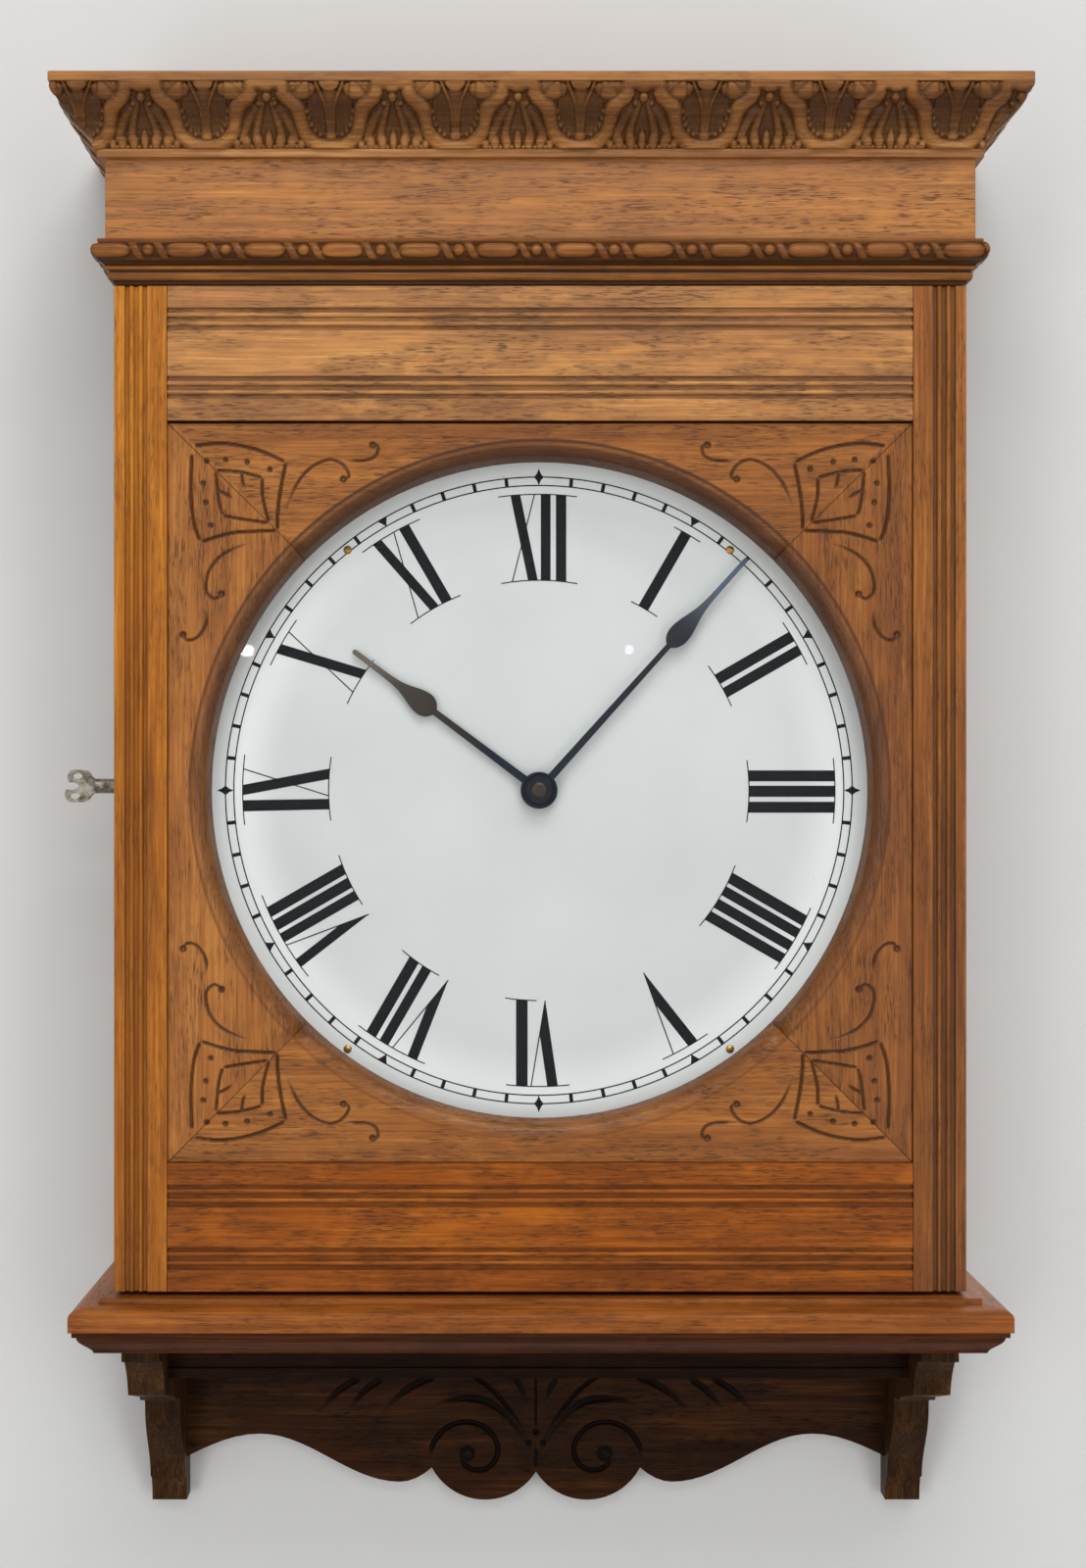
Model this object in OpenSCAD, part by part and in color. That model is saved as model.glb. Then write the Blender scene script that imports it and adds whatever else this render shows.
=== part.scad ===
// Self-winding wall clock: oak case with a moulded cornice, a hinged front with a round
// glazed opening, a white Roman dial, an electric rewinding movement and a half-second pendulum.
// Millimetres. X to the right, Z up, the wall is the plane Y = 0 and the front looks along -Y.
// The origin lies on the wall on the axis of the hands.

/* [Case] */
// Width of the case over its two sides
case_w = 590; // [570:5:640]
// Depth from the wall to the face of the stiles
case_d = 170; // [164:2:190]
// Thickness of the side boards
side_t = 18; // [14:1:22]
// Thickness of the back board
back_t = 12; // [8:1:14]
// Running gap between the back of the front frame and the case
door_gap = 0.6; // [0.5:0.1:1.5]

/* [Front frame] */
// Height of the front frame above the dial axis
door_rise = 349; // [345:1:370]
// Depth of the front frame below the dial axis
door_drop = 347.5; // [345:0.5:370]
// Thickness of the stiles and rails
door_t = 21.4; // [20:0.2:24]
// Width of a stile
stile_w = 36.5; // [34:0.5:40]
// Height that the field of the mitred frame lacks above, against half its width
frame_short = 2.5; // [0:0.5:6]
// Shadow gap between the top rail and the boards round the dial
rail_shadow = 1.8; // [0.3:0.1:3]
// Flat left outside the reeds of a stile
stile_flat = 7.3; // [6:0.1:9]
// Width of a band of reeds
reed_band = 15.7; // [13:0.1:17]
// Depth of the reed grooves
reed_depth = 2.5; // [2:0.1:3]
// Flat between the ends of a rail's height and its outer band of reeds
rail_flat = 14.9; // [12:0.1:16]
// Step from the stiles back to the mitred frame
frame_step = 3; // [2:0.5:4]
// Open line between the mitred pieces
mitre_gap = 0.25; // [0.2:0.05:0.4]
// Least width of the mitred frame beside the opening
open_side = 29; // [27:0.5:34]
// Width of the rounded edge round the opening
open_edge = 13.5; // [10:0.5:14]
// Depth of the rounded edge round the opening
open_edge_d = 8; // [6:0.5:9]
// Thickness of the glass
glass_t = 3; // [2:0.5:4]
// Lap of the glass over the opening
glass_lap = 5; // [4:0.5:6]

/* [Cornice] */
// Gap between the front frame and the moulding above it
head_gap = 1.2; // [1:0.1:3]
// Height of the bead moulding
bead_h = 30.2; // [28:0.2:34]
// Height of the coves and fillets under the bead
bead_cove_h = 11.8; // [10:0.2:13]
// Reach of the bead moulding from the case
bead_reach = 14.8; // [13:0.2:18]
// Height of the frieze
frieze_h = 55.1; // [50:0.1:65]
// Reach of the frieze from the case
frieze_reach = 5.3; // [4:0.1:7]
// Height of the carved crown moulding
crown_h = 44; // [40:0.5:50]
// Reach of the crown moulding from the case
crown_reach = 38.8; // [34:0.2:44]
// Thickness of the top board
top_t = 6.7; // [6:0.1:9]

/* [Base] */
// Gap between the front frame and the base board
foot_gap = 3; // [2:0.5:5]
// Thickness of the base board
base_t = 19.8; // [18:0.2:24]
// Reach of the base board from the case
base_reach = 27.4; // [24:0.2:34]
// Flat ledge of the base board outside the case
base_ledge = 9; // [7:0.5:10]
// Height of the moulding under the base board
under_h = 17; // [15:0.5:20]
// Reach of the moulding under the base board
under_reach = 25.2; // [22:0.2:27]

/* [Brackets and apron] */
// Thickness of a bracket
bracket_t = 26; // [22:1:30]
// Distance of a bracket from the side of the case
bracket_in = 5; // [3:0.5:10]
// Height of the block at the front of a bracket
bracket_block = 40; // [38:1:46]
// Height of a bracket over all
bracket_h = 148.2; // [146:0.2:160]
// Depth of the foot of a bracket
bracket_foot = 20; // [18:0.5:24]
// Thickness of the apron board
apron_t = 19; // [15:1:20]
// Radius of the two scroll lobes of the apron
lobe_r = 45.5; // [40:0.5:46]
// Distance of a lobe's centre from the middle
lobe_x = 38.5; // [36:0.5:42]
// Depth of a lobe's centre under the case
lobe_low = 103.2; // [101:0.1:104]
// Height of the rail between the brackets
cross_h = 31.7; // [28:0.1:36]
// Thickness of the rail between the brackets
cross_t = 18; // [14:1:22]
// Distance of that rail behind the stiles
cross_set = 50; // [44:1:60]

/* [Dial and hands] */
// Distance of the dial face behind the face of the stiles
dial_set = 44.8; // [44:0.1:46]
// Lap of the dial sheet past the opening
dial_lap = 15.5; // [12:0.5:20]
// Thickness of the dial sheet
dial_t = 1.2; // [1:0.1:1.6]
// Height of a rail that carries the dial
dial_rail_h = 28; // [22:1:34]
// Thickness of a rail that carries the dial
dial_rail_t = 16; // [12:1:18]
// Distance of the upper dial screws below the top of the opening
screw_under = 58.5; // [50:0.5:64]
// Distance of the lower dial screws above the foot of the opening
screw_over = 45.5; // [40:0.5:52]
// Distance of a dial screw from the side of the opening
screw_side = 93.5; // [85:0.5:110]
// Length of the minute hand from its axis to its tip
minute_len = 220; // [205:1:222]
// Length of the hour hand from its axis to its tip
hour_len = 165; // [150:1:175]
// Greatest width of the minute hand's spade
minute_spade_w = 15.1; // [12:0.1:18]
// Greatest width of the hour hand's spade
hour_spade_w = 17.1; // [13:0.1:20]
// Thickness of a hand
hand_t = 1; // [0.8:0.1:1.4]
// Clockwise angle of the minute hand from twelve
minute_angle = 41.9; // [0:0.1:359]
// Clockwise angle of the hour hand from twelve
hour_angle = 306.9; // [0:0.1:359]

/* [Movement] */
// Space between the two plates
plate_gap = 39; // [39:0.5:46]
// Thickness of a plate
plate_t = 3; // [2.5:0.1:3.4]
// Half of the width of a plate
plate_half = 58; // [54:1:62]
// Space between the dial and the front plate
motion_gap = 20; // [20:0.5:24]
// Radius of the centre arbor
centre_r = 2.5; // [2.2:0.1:2.8]
// Radius of the other arbors
arbor_r = 1.5; // [1.3:0.1:1.8]
// Radius of the pivots in the plates
pivot_r = 1; // [0.8:0.1:1.2]
// Radial play of a pivot in its hole
pivot_play = 0.05; // [0.03:0.01:0.08]
// Tooth size of the centre wheel, its pitch diameter over its teeth
centre_mod = 1.1; // [1.05:0.01:1.15]
// Tooth size of the third wheel
third_mod = 1; // [0.96:0.01:1.04]
// Tooth size of the fourth wheel
fourth_mod = 0.9; // [0.86:0.01:0.94]
// Tooth size of the winding wheel
wind_mod = 0.8; // [0.76:0.01:0.82]
// Radius of the escape wheel
escape_r = 17; // [16:0.5:18]
// Radius of the armature of the motor
armature_r = 18; // [16:0.5:19]
// Length of a magnet coil
coil_len = 30; // [26:1:32]
// Outer radius of a magnet coil
coil_r = 13; // [11:0.5:14]

/* [Pendulum] */
// Length of the pendulum from its bend to the middle of its bob
pendulum_len = 248; // [240:1:256]
// Radius of the bob
bob_r = 34; // [30:1:38]
// Thickness of the bob
bob_t = 18; // [14:1:22]
// Radius of the rod
rod_r = 1.5; // [1.3:0.1:1.8]

/* [Battery] */
// Radius of a dry cell
cell_r = 33; // [30:1:34]
// Height of a dry cell
cell_h = 152; // [140:1:156]
// Distance of a cell from the middle
cell_x = 120; // [105:1:180]
// Distance of the middle of a cell behind the dial plane
cell_back = 45; // [43:1:52]

/* [Hardware] */
// Height of a hinge
hinge_h = 60; // [50:1:76]
// Height of a hinge above and below the dial axis
hinge_z = 230; // [200:1:290]
// Radius of a hinge knuckle
knuckle_r = 2.4; // [2.2:0.1:2.8]
// Radius of a hinge pin
hinge_pin_r = 1.2; // [1:0.1:1.4]
// Thickness of a hinge leaf
leaf_t = 1.4; // [1.2:0.1:1.6]
// Radial play of the hinge pin, the spindle and the key
turn_play = 0.05; // [0.03:0.01:0.08]
// Height of the lock spindle above the dial axis
lock_z = 3.5; // [0:0.5:10]
// Distance of the lock spindle from the wall
lock_y = 90; // [84:1:94]
// Radius of the lock spindle
spindle_r = 4; // [3.5:0.1:4.5]
// Side of the square on the spindle
square_w = 5; // [4:0.1:5.4]
// Radius of the key's barrel
key_r = 5.3; // [4.8:0.1:5.6]
// Reach of the key from the side of the case
key_reach = 48.6; // [46:0.2:52]
// Length of the key's bow
bow_len = 22.8; // [20:0.2:24]
// Lead of the lower lobe of the bow, which use has bent
bow_lean = 1; // [0:0.1:1.5]
// Radius of the hole in the hanger plate
hanger_hole_r = 4.5; // [3.5:0.1:5]
// Distance of the hanger hole below the top board
hanger_low = 39.5; // [30:0.5:50]
// Radius of the steadying screw holes
steady_r = 2.6; // [2:0.1:3]
// Distance between the steadying screw holes
steady_pitch = 300; // [240:10:400]

/* [Hidden] */
$fn = 64;

// Colours of the materials
oak = "#b5763a";
oak_dark = "#7a4a24";
pine = "#b98b54";
brass = "#c9a24b";
steel = "#9aa0a6";
blued = "#2f3540";
copper = "#8c3b22";
white = "#e8ebe8";
black = "#26262a";
pewter = "#b4b0a6";

// Small lengths used all over the model
eps = 0.01;
slip = 0.3;
far = 60;

// Main planes and levels of the case
half_w = case_w / 2;
in_w = half_w - side_t;
y_face = -case_d;
y_door = y_face + door_t;
y_case = y_door + door_gap;
z_bead = door_rise + head_gap;
z_frieze = z_bead + bead_h;
z_crown = z_frieze + frieze_h;
z_top = z_crown + crown_h;
z_base = -door_drop - foot_gap;
z_base_low = z_base - base_t;
z_under = z_base_low - under_h;
hanger_z = z_top - hanger_low;
lobe_z = z_under - lobe_low;

// The opening in the front frame
frame_half = half_w - stile_w;
frame_top = frame_half - frame_short;
frame_low = -frame_half;
open_r = frame_half - open_side;
y_frame = y_face + frame_step;
y_glass = y_door - glass_t;
glass_r = open_r + glass_lap;

// Planes of the dial and of the movement
y_dial = y_face + dial_set;
y_dial_back = y_dial + dial_t;
dial_r = open_r + dial_lap;
dial_screw_x = open_r - screw_side;
dial_screw_up = open_r - screw_under;
dial_screw_low = open_r - screw_over;
y_front0 = y_dial_back + motion_gap;
y_front1 = y_front0 + plate_t;
y_back0 = y_front1 + plate_gap;
y_back1 = y_back0 + plate_t;
y_board = -back_t;

// Teeth of the train: 72/12, 60/12 and 48/12 turn the escape wheel 120 times an hour,
// and 30 teeth at two beats each give the half-second beat
leaves = 12;
centre_n = 72;
third_n = 60;
fourth_n = 48;
escape_n = 30;
wind_n = 96;
cannon_n = 12;
minute_n = 36;
hour_n = 48;
motion_mod = 0.9;
hour_mod = motion_mod * (cannon_n + minute_n) / (leaves + hour_n);

// Places of the arbors, seen from the front
third_c = centre_mod * (centre_n + leaves) / 2;
fourth_c = third_mod * (third_n + leaves) / 2;
escape_c = fourth_mod * (fourth_n + leaves) / 2;
wind_c = wind_mod * (wind_n + leaves) / 2;
motion_c = motion_mod * (cannon_n + minute_n) / 2;
third_at = third_c * [-cos(30), sin(30)];
escape_at = [0, 62];
fourth_at = meet(third_at, fourth_c, escape_at, escape_c);
pallet_at = escape_at + [0, escape_r / cos(45)];
rotor_at = [0, -wind_c];
minute_at = motion_c * [cos(45), -sin(45)];
swing = 3.5;

// Lower and upper ends of the plates
plate_top = pallet_at[1] + 16;
plate_low = rotor_at[1] - 66;

// Plane of the pendulum, midway between the movement and the back board, and its levels
y_pend = (y_back1 + y_board) / 2;
z_bend = pallet_at[1];
z_bob = z_bend - pendulum_len;

// Hands, from the dial outwards
y_hour = y_dial - 4.4;
y_minute = y_hour - 5;
pipe_r = centre_r + 1.1;
hour_bore = pipe_r + pivot_play;
hour_pipe_r = hour_bore + 1.8;

// Lock
y_lock = -lock_y;
cam_x = -in_w + 1.5;
cam_t = 3;
cam_len = 41;

// Hinge axis: hidden behind the front edge of the stile
hinge_x = half_w + 1;
hinge_y = y_door + door_gap / 2;

// Where two circles about a and b meet, to the left of the way from a to b
function meet(a, ra, b, rb) =
    let (d = norm(b - a), u = (b - a) / d, t = (ra * ra - rb * rb + d * d) / (2 * d))
    a + t * u + sqrt(ra * ra - t * t) * [-u[1], u[0]];

function arc(c, r, a0, a1, n = 8) =
    [for (i = [0:n]) c + r * [cos(a0 + (a1 - a0) * i / n), sin(a0 + (a1 - a0) * i / n)]];

function bearing(a, b) = atan2(b[1] - a[1], b[0] - a[0]);

// A plate drawn as seen from the front, from y0 back to y1
module front_plate_of(y0, y1) {
    translate([0, y1, 0]) rotate([90, 0, 0]) linear_extrude(y1 - y0) children();
}

// A round bar along Y
module bar_y(at, y0, y1, r) {
    translate([at[0], y0, at[1]]) rotate([-90, 0, 0]) cylinder(h = y1 - y0, r = r);
}

// A round bar along X
module bar_x(x0, x1, y, z, r) {
    translate([x0, y, z]) rotate([0, 90, 0]) cylinder(h = x1 - x0, r = r);
}

module block(x0, x1, y0, y1, z0, z1) {
    translate([x0, y0, z0]) cube([x1 - x0, y1 - y0, z1 - z0]);
}

// A layer that runs round the front and both sides of the case with mitred corners.
// Its profile is a list of reach from the case against height, from the foot upwards.
module layer(profile) {
    side = case_d + far;
    low = profile[0][1];
    high = profile[len(profile) - 1][1];
    intersection() {
        rotate([90, 0, 0]) linear_extrude(side) polygon(concat(
            [for (p = profile) [half_w + p[0], p[1]]],
            [for (p = flip(profile)) [-half_w - p[0], p[1]]]));
        translate([-half_w - far, 0, 0]) rotate([90, 0, 90]) linear_extrude(case_w + 2 * far)
            polygon(concat([for (p = profile) [y_face - p[0], p[1]]], [[0, high], [0, low]]));
    }
}

// The same without what lies inside the case, or further in where inner is set
module wrap(profile, inner = 0) {
    difference() {
        layer(profile);
        block(-half_w + inner, half_w - inner, y_face + inner, 1,
            profile[0][1] - 1, profile[len(profile) - 1][1] + 1);
    }
}

function flip(list) = [for (i = [len(list) - 1:-1:0]) list[i]];

// Sunk band of reeds: three grooves with two round beads between them, face at y = 0
module reeds() {
    bead = reed_band / 5;
    difference() {
        translate([-reed_band / 2, -1]) square([reed_band, reed_depth + 1]);
        for (s = [-1, 1]) translate([s * bead, 0]) {
            translate([0, bead / 2]) circle(bead / 2, $fn = 32);
            translate([-bead / 2, bead / 2]) square([bead, reed_depth]);
        }
    }
}

// Toothed wheel outline with a tooth on the line towards angle a, or a gap where half is set
module teeth(n, mod, a, half = false) {
    pitch = 360 / n;
    shape = [[-0.25, -1.15], [-0.2, 0], [-0.08, 0.75], [0.08, 0.75], [0.2, 0], [0.25, -1.15]];
    turn = a + (half ? pitch / 2 : 0);
    polygon([for (i = [0:n - 1], p = shape)
        (mod * (n / 2 + p[1])) * [cos(turn + pitch * (i + p[0])), sin(turn + pitch * (i + p[0]))]]);
}

// Openings between the arms of a wheel
module crossings(rim, hub, arms, arm_w) {
    difference() {
        circle(rim);
        circle(hub);
        for (i = [0:arms - 1]) rotate(i * 360 / arms)
            translate([0, -arm_w / 2]) square([rim + 1, arm_w]);
    }
}

module wheel(at, y0, t, n, mod, a, arms = 5, half = false) {
    front_plate_of(y0, y0 + t) translate(at) difference() {
        teeth(n, mod, a, half);
        crossings(mod * (n / 2 - 3.4), mod * n / 12 + 2.5, arms, mod * 2.6);
    }
}

module pinion(at, y0, y1, n, mod, a, half = true) {
    front_plate_of(y0, y1) translate(at) teeth(n, mod, a, half);
}

// Arbor between the plates with a pivot in each
module arbor(at, r = arbor_r) {
    bar_y(at, y_front1 + slip, y_back0 - slip, r);
    bar_y(at, y_front0, y_back1, pivot_r);
}

// Case

module back_board() {
    color(pine) difference() {
        block(-in_w, in_w, y_board, 0, z_base, z_top);
        block(-30.2, 30.2, -2, 1, hanger_z - 15.2, hanger_z + 15.2);
        bar_y([0, hanger_z], y_board - 1, 1, hanger_hole_r + 4);
        for (s = [-1, 1])
            bar_y([s * steady_pitch / 2, z_base + 30], y_board - 1, 1, steady_r);
    }
}

module side_board() {
    block(-half_w, -in_w, y_case, 0, z_base, z_top);
}

module left_side() {
    color(oak) difference() {
        side_board();
        bar_x(-half_w - 1, -in_w + 1, y_lock, lock_z, spindle_r + turn_play);
    }
}

module right_side() {
    color(oak) difference() {
        mirror([1, 0, 0]) side_board();
        hinge_mortise();
    }
}

// Room for the leaves and knuckles in the stile and in the side
module hinge_mortise() {
    for (s = [-1, 1]) {
        block(half_w - leaf_reach - slip, half_w + 1, hinge_y - leaf_t - slip / 3,
            hinge_y + leaf_t + slip / 3,
            s * hinge_z - hinge_h / 2 - slip, s * hinge_z + hinge_h / 2 + slip);
        translate([hinge_x, hinge_y, s * hinge_z - hinge_h / 2 - pin_head - slip])
            cylinder(h = hinge_h + 2 * (pin_head + slip), r = knuckle_r + slip);
    }
}
leaf_reach = 15;
pin_head = 1.2;

module head_rail() {
    color(oak_dark) block(-half_w, half_w, y_face, y_case, z_bead, z_top);
}

module crown_top() {
    round = 1.6;
    color(oak) layer(concat([[crown_reach, z_top]],
        arc([crown_reach - round, z_top + top_t - round], round, 0, 90, 4)));
}

// Fillet and cyma of the crown
module crown_moulding() {
    fillet_h = 5.5;
    fillet_reach = 10.4;
    start = 13;
    steps = 16;
    color(oak_dark) wrap(concat(
        [[fillet_reach, z_crown], [fillet_reach, z_crown + fillet_h]],
        [for (i = [0:steps]) [
            start + (crown_reach - start) * (1 - cos(180 * pow(i / steps, 0.92))) / 2,
            z_crown + fillet_h + (crown_h - fillet_h) * i / steps]]));
}

module frieze() {
    color(oak) wrap([[frieze_reach, z_frieze], [frieze_reach, z_crown]]);
}

// Cove, fillets and a half-round bead
module bead_moulding() {
    r = (bead_h - bead_cove_h) / 2;
    z_mid = z_bead + bead_cove_h + r;
    back = bead_reach - r;
    color(oak_dark) wrap(concat(
        [[1.2, z_bead], [2.4, z_bead + bead_cove_h * 0.25]],
        [[4.2, z_bead + bead_cove_h * 0.4], [4.4, z_bead + bead_cove_h * 0.72]],
        [[back + 1, z_bead + bead_cove_h]],
        arc([back, z_mid], r, -72, 90, 14)));
}

module base_board() {
    quirk = 3.5;
    slope = 9.5;
    color(oak) layer(flip(concat(
        [[base_ledge, z_base], [base_ledge + 0.4, z_base - quirk]],
        [for (i = [0:6]) [base_ledge + 2 + (base_reach - base_ledge - 2) * sin(15 * i),
            z_base - quirk - (slope - quirk) * (1 - cos(15 * i))]],
        [[base_reach, z_base_low]])));
}

module base_moulding() {
    inner = 16;
    steps = 8;
    color(oak_dark) wrap(flip(concat(
        [[under_reach, z_base_low], [under_reach, z_base_low - 3.7]],
        [for (i = [0:steps]) [
            12.3 + (under_reach - 15) * pow(cos(90 * i / steps), 1.5),
            z_base_low - 4.2 - (under_h - 4.8) * i / steps]],
        [[12.3, z_under]])), inner);
}

module under_rail() {
    lip = 7;
    x = half_w - bracket_in - bracket_t;
    y = y_face + cross_set;
    color(oak_dark) {
        block(-x, x, y, y + cross_t, z_under - cross_h, z_under);
        block(-x, x, y - 2, y + eps, z_under - cross_h, z_under - cross_h + lip);
    }
}

// Side view of a bracket: distance behind the stiles against depth under the base.
// Cap, cove, sloping underside with a small step, leg in a long S, stepped foot.
module bracket_shape() {
    leg = 111.5;
    leg_back = case_d - bracket_foot - 10.2 - leg;
    leg_low = bracket_h - 20.5;
    foot = case_d - bracket_foot;
    steps = 10;
    mirror([0, 1]) translate([y_face, -z_under]) polygon(concat(
        [[case_d, 0], [0, 0], [0, 9.1], [2.6, 9.1]],
        [for (p = arc([-21.4, bracket_block + 12.9], 53.6, -51.4, -14.5, 6)) p],
        [[85, bracket_block + 14.4], [88, bracket_block + 17.5]],
        [[leg - 2, bracket_block + 21], [leg - 0.5, bracket_block + 24]],
        [for (i = [0:steps]) [leg + leg_back * (1 - cos(180 * i / steps)) / 2,
            bracket_block + 26 + (leg_low - bracket_block - 26) * pow(i / steps, 0.9)]],
        [[foot - 4.6, leg_low + 2], [foot - 1, leg_low + 10], [foot, bracket_h]],
        [[case_d, bracket_h]]));
}

module bracket() {
    translate([half_w - bracket_in - bracket_t, 0, 0]) rotate([90, 0, 90])
        linear_extrude(bracket_t) bracket_shape();
}

module brackets() {
    color(oak_dark) for (side = [0, 1]) mirror([side, 0, 0]) bracket();
}

// Lower edge of the apron on the right: a long wave from the bracket to the cusp by the lobe
function apron_edge() =
    let (x0 = half_w - bracket_in - bracket_t, crest_x = 209, low_x = 103, cusp_x = 78,
        crest = lobe_z + 4.5, low = lobe_z - 31.9)
    concat(
        [for (i = [0:6]) let (x = x0 + (crest_x - x0) * i / 6)
            [x, crest - 17 * (1 - cos(90 * (x - crest_x) / (x0 - crest_x)))]],
        [for (i = [1:14]) let (x = crest_x + (low_x - crest_x) * i / 14)
            [x, (crest + low) / 2 + (crest - low) / 2 * cos(180 * i / 14)]],
        [for (i = [1:4]) let (x = low_x + (cusp_x - low_x) * i / 4)
            [x, low + 11.4 * pow(i / 4, 2)]]);

module apron() {
    right = apron_edge();
    n = len(right);
    left = [for (i = [0:n - 1]) [-right[n - 1 - i][0], right[n - 1 - i][1]]];
    x0 = right[0][0];
    color(oak_dark) front_plate_of(-apron_t, 0) union() {
        polygon(concat([[x0, z_under]], right, [[0, lobe_z]], left, [[-x0, z_under]]));
        for (s = [-1, 1]) translate([s * lobe_x, lobe_z]) circle(lobe_r);
    }
}

module hanger_plate() {
    color(steel) difference() {
        block(-30, 30, -2, 0, hanger_z - 15, hanger_z + 15);
        bar_y([0, hanger_z], -3, 1, hanger_hole_r);
        for (s = [-1, 1]) bar_y([s * 22, hanger_z], -3, 1, 1.6);
    }
}

// Dial

module dial_rails() {
    color(pine) difference() {
        for (z = [dial_screw_up, -dial_screw_low])
            block(-in_w, in_w, y_dial_back, y_dial_back + dial_rail_t,
                z - dial_rail_h / 2, z + dial_rail_h / 2);
        dial_screw_places() bar_y([0, 0], y_dial_back - 1, y_dial_back + 12, 1.6 + pivot_play);
    }
}

module dial_screw_places() {
    for (s = [-1, 1], z = [dial_screw_up, -dial_screw_low])
        translate([s * dial_screw_x, 0, z]) children();
}

// Flat painted sheet with a rolled edge
module dial_pan() {
    roll = 1.5;
    color(white) difference() {
        union() {
            bar_y([0, 0], y_dial, y_dial_back, dial_r);
            translate([0, y_dial - roll / 2, 0]) rotate([-90, 0, 0])
                rotate_extrude($fn = 96) translate([dial_r - roll, 0]) circle(roll, $fn = 24);
        }
        bar_y([0, 0], y_dial - 2, y_dial_back + 2, hour_pipe_r + 1.5);
        dial_screw_places() bar_y([0, 0], y_dial - 1, y_dial_back + 1, 1.6 + pivot_play);
    }
}

module dial_screws() {
    head_r = 3;
    head_h = 1.6;
    color(brass) dial_screw_places() {
        bar_y([0, 0], y_dial - eps, y_dial_back + 10, 1.6);
        difference() {
            translate([0, y_dial, 0]) rotate([90, 0, 0])
                rotate_extrude() polygon(concat([[0, 0], [head_r, 0]],
                    [for (i = [1:6]) [head_r * cos(15 * i), head_h * sin(15 * i)]]));
            block(-head_r, head_r, y_dial - head_h - 1, y_dial - head_h + 0.7, -0.4, 0.4);
        }
    }
}

// Movement frame

// Iron frame on the back board: two cheeks and a bridge that the pendulum hangs from
module movement_seat() {
    x0 = plate_half - 14;
    x1 = plate_half - 6;
    color(black) difference() {
        union() {
            for (s = [0, 1]) mirror([s, 0, 0]) {
                block(x0, x1, y_back1, y_board, plate_low + 12, plate_top);
                block(x0, x1 + 22, y_board - 4, y_board, plate_low + 12, plate_low + 30);
                block(x0, x1 + 22, y_board - 4, y_board, plate_top - 18, plate_top);
            }
            block(-x1, x1, y_back1, y_board, plate_top - 6, plate_top + 2);
        }
        for (s = [-1, 1], z = [plate_low + 21, plate_top - 9])
            bar_y([s * (x1 + 13), z], y_board - 6, y_board + 1, 2.2);
    }
}

module plate_outline() {
    r = 10;
    x = plate_half - r;
    difference() {
        union() {
            translate([-x, plate_low]) square([2 * x, plate_top - plate_low]);
            translate([-plate_half, plate_low + r])
                square([2 * plate_half, plate_top - plate_low - 2 * r]);
            for (s = [-1, 1], z = [plate_low + r, plate_top - r]) translate([s * x, z]) circle(r);
        }
        translate([0, pillar_z(0) + 11]) circle(3);
    }
}

function pillar_z(i) = i == 0 ? plate_low + 9 : plate_top - 9;

module pillar_places() {
    for (s = [-1, 1], i = [0, 1]) translate([s * (plate_half - 9), 0, pillar_z(i)]) children();
}

module pivot_holes(y0, y1) {
    for (at = [third_at, fourth_at, escape_at, pallet_at, rotor_at])
        bar_y(at, y0, y1, pivot_r + pivot_play);
    bar_y([0, 0], y0, y1, centre_r + pivot_play);
}

module back_plate() {
    color(brass) difference() {
        front_plate_of(y_back0, y_back1) plate_outline();
        pivot_holes(y_back0 - 1, y_back1 + 1);
        bar_y(pallet_at, y_back0 - 1, y_back1 + 1, arbor_r + slip);
        pillar_places() bar_y([0, 0], y_back0 - 1, y_back1 + 1, 2 + pivot_play);
        motor_screw_places() bar_y([0, 0], y_back0 - 1, y_back1 + 1, 1.5 + pivot_play);
    }
}

module front_plate() {
    color(brass) {
        difference() {
            front_plate_of(y_front0, y_front1) plate_outline();
            pivot_holes(y_front0 - 1, y_front1 + 1);
            pillar_places() bar_y([0, 0], y_front0 - 1, y_front1 + 1, 2 + pivot_play);
        }
        // Stud of the minute wheel
        bar_y(minute_at, y_front0 - 15, y_front0 + eps, arbor_r);
    }
}

// Turned pillars with a shoulder at each plate and a nut outside it
module plate_pillars() {
    nut_t = 3;
    color(brass) pillar_places() {
        bar_y([0, 0], y_front1, y_back0, 4);
        bar_y([0, 0], y_front0 - nut_t, y_front1 + eps, 2);
        bar_y([0, 0], y_back0 - eps, y_back1, 2);
        translate([0, y_front0, 0]) rotate([90, 0, 0]) cylinder(h = nut_t, r = 4.4, $fn = 6);
    }
}

// Train

module centre_arbor() {
    color(steel) bar_y([0, 0], y_minute - 4.5, y_back1, centre_r);
}

module centre_wheel() {
    color(brass) difference() {
        union() {
            wheel([0, 0], y_back0 - 10, 2.5, centre_n, centre_mod, bearing([0, 0], third_at));
            bar_y([0, 0], y_back0 - 13, y_back0 - 4, centre_r + 3);
        }
        bar_y([0, 0], y_back0 - 14, y_back0 - 3, centre_r + pivot_play);
    }
}

module cannon_pinion() {
    color(steel) difference() {
        union() {
            pinion([0, 0], y_front0 - 6, y_front0 - 1, cannon_n, motion_mod,
                bearing([0, 0], minute_at), false);
            bar_y([0, 0], y_minute - hand_t - 0.8, y_front0 - 1, pipe_r);
        }
        bar_y([0, 0], y_minute - 10, y_front0 + 1, centre_r + pivot_play);
    }
}

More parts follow.
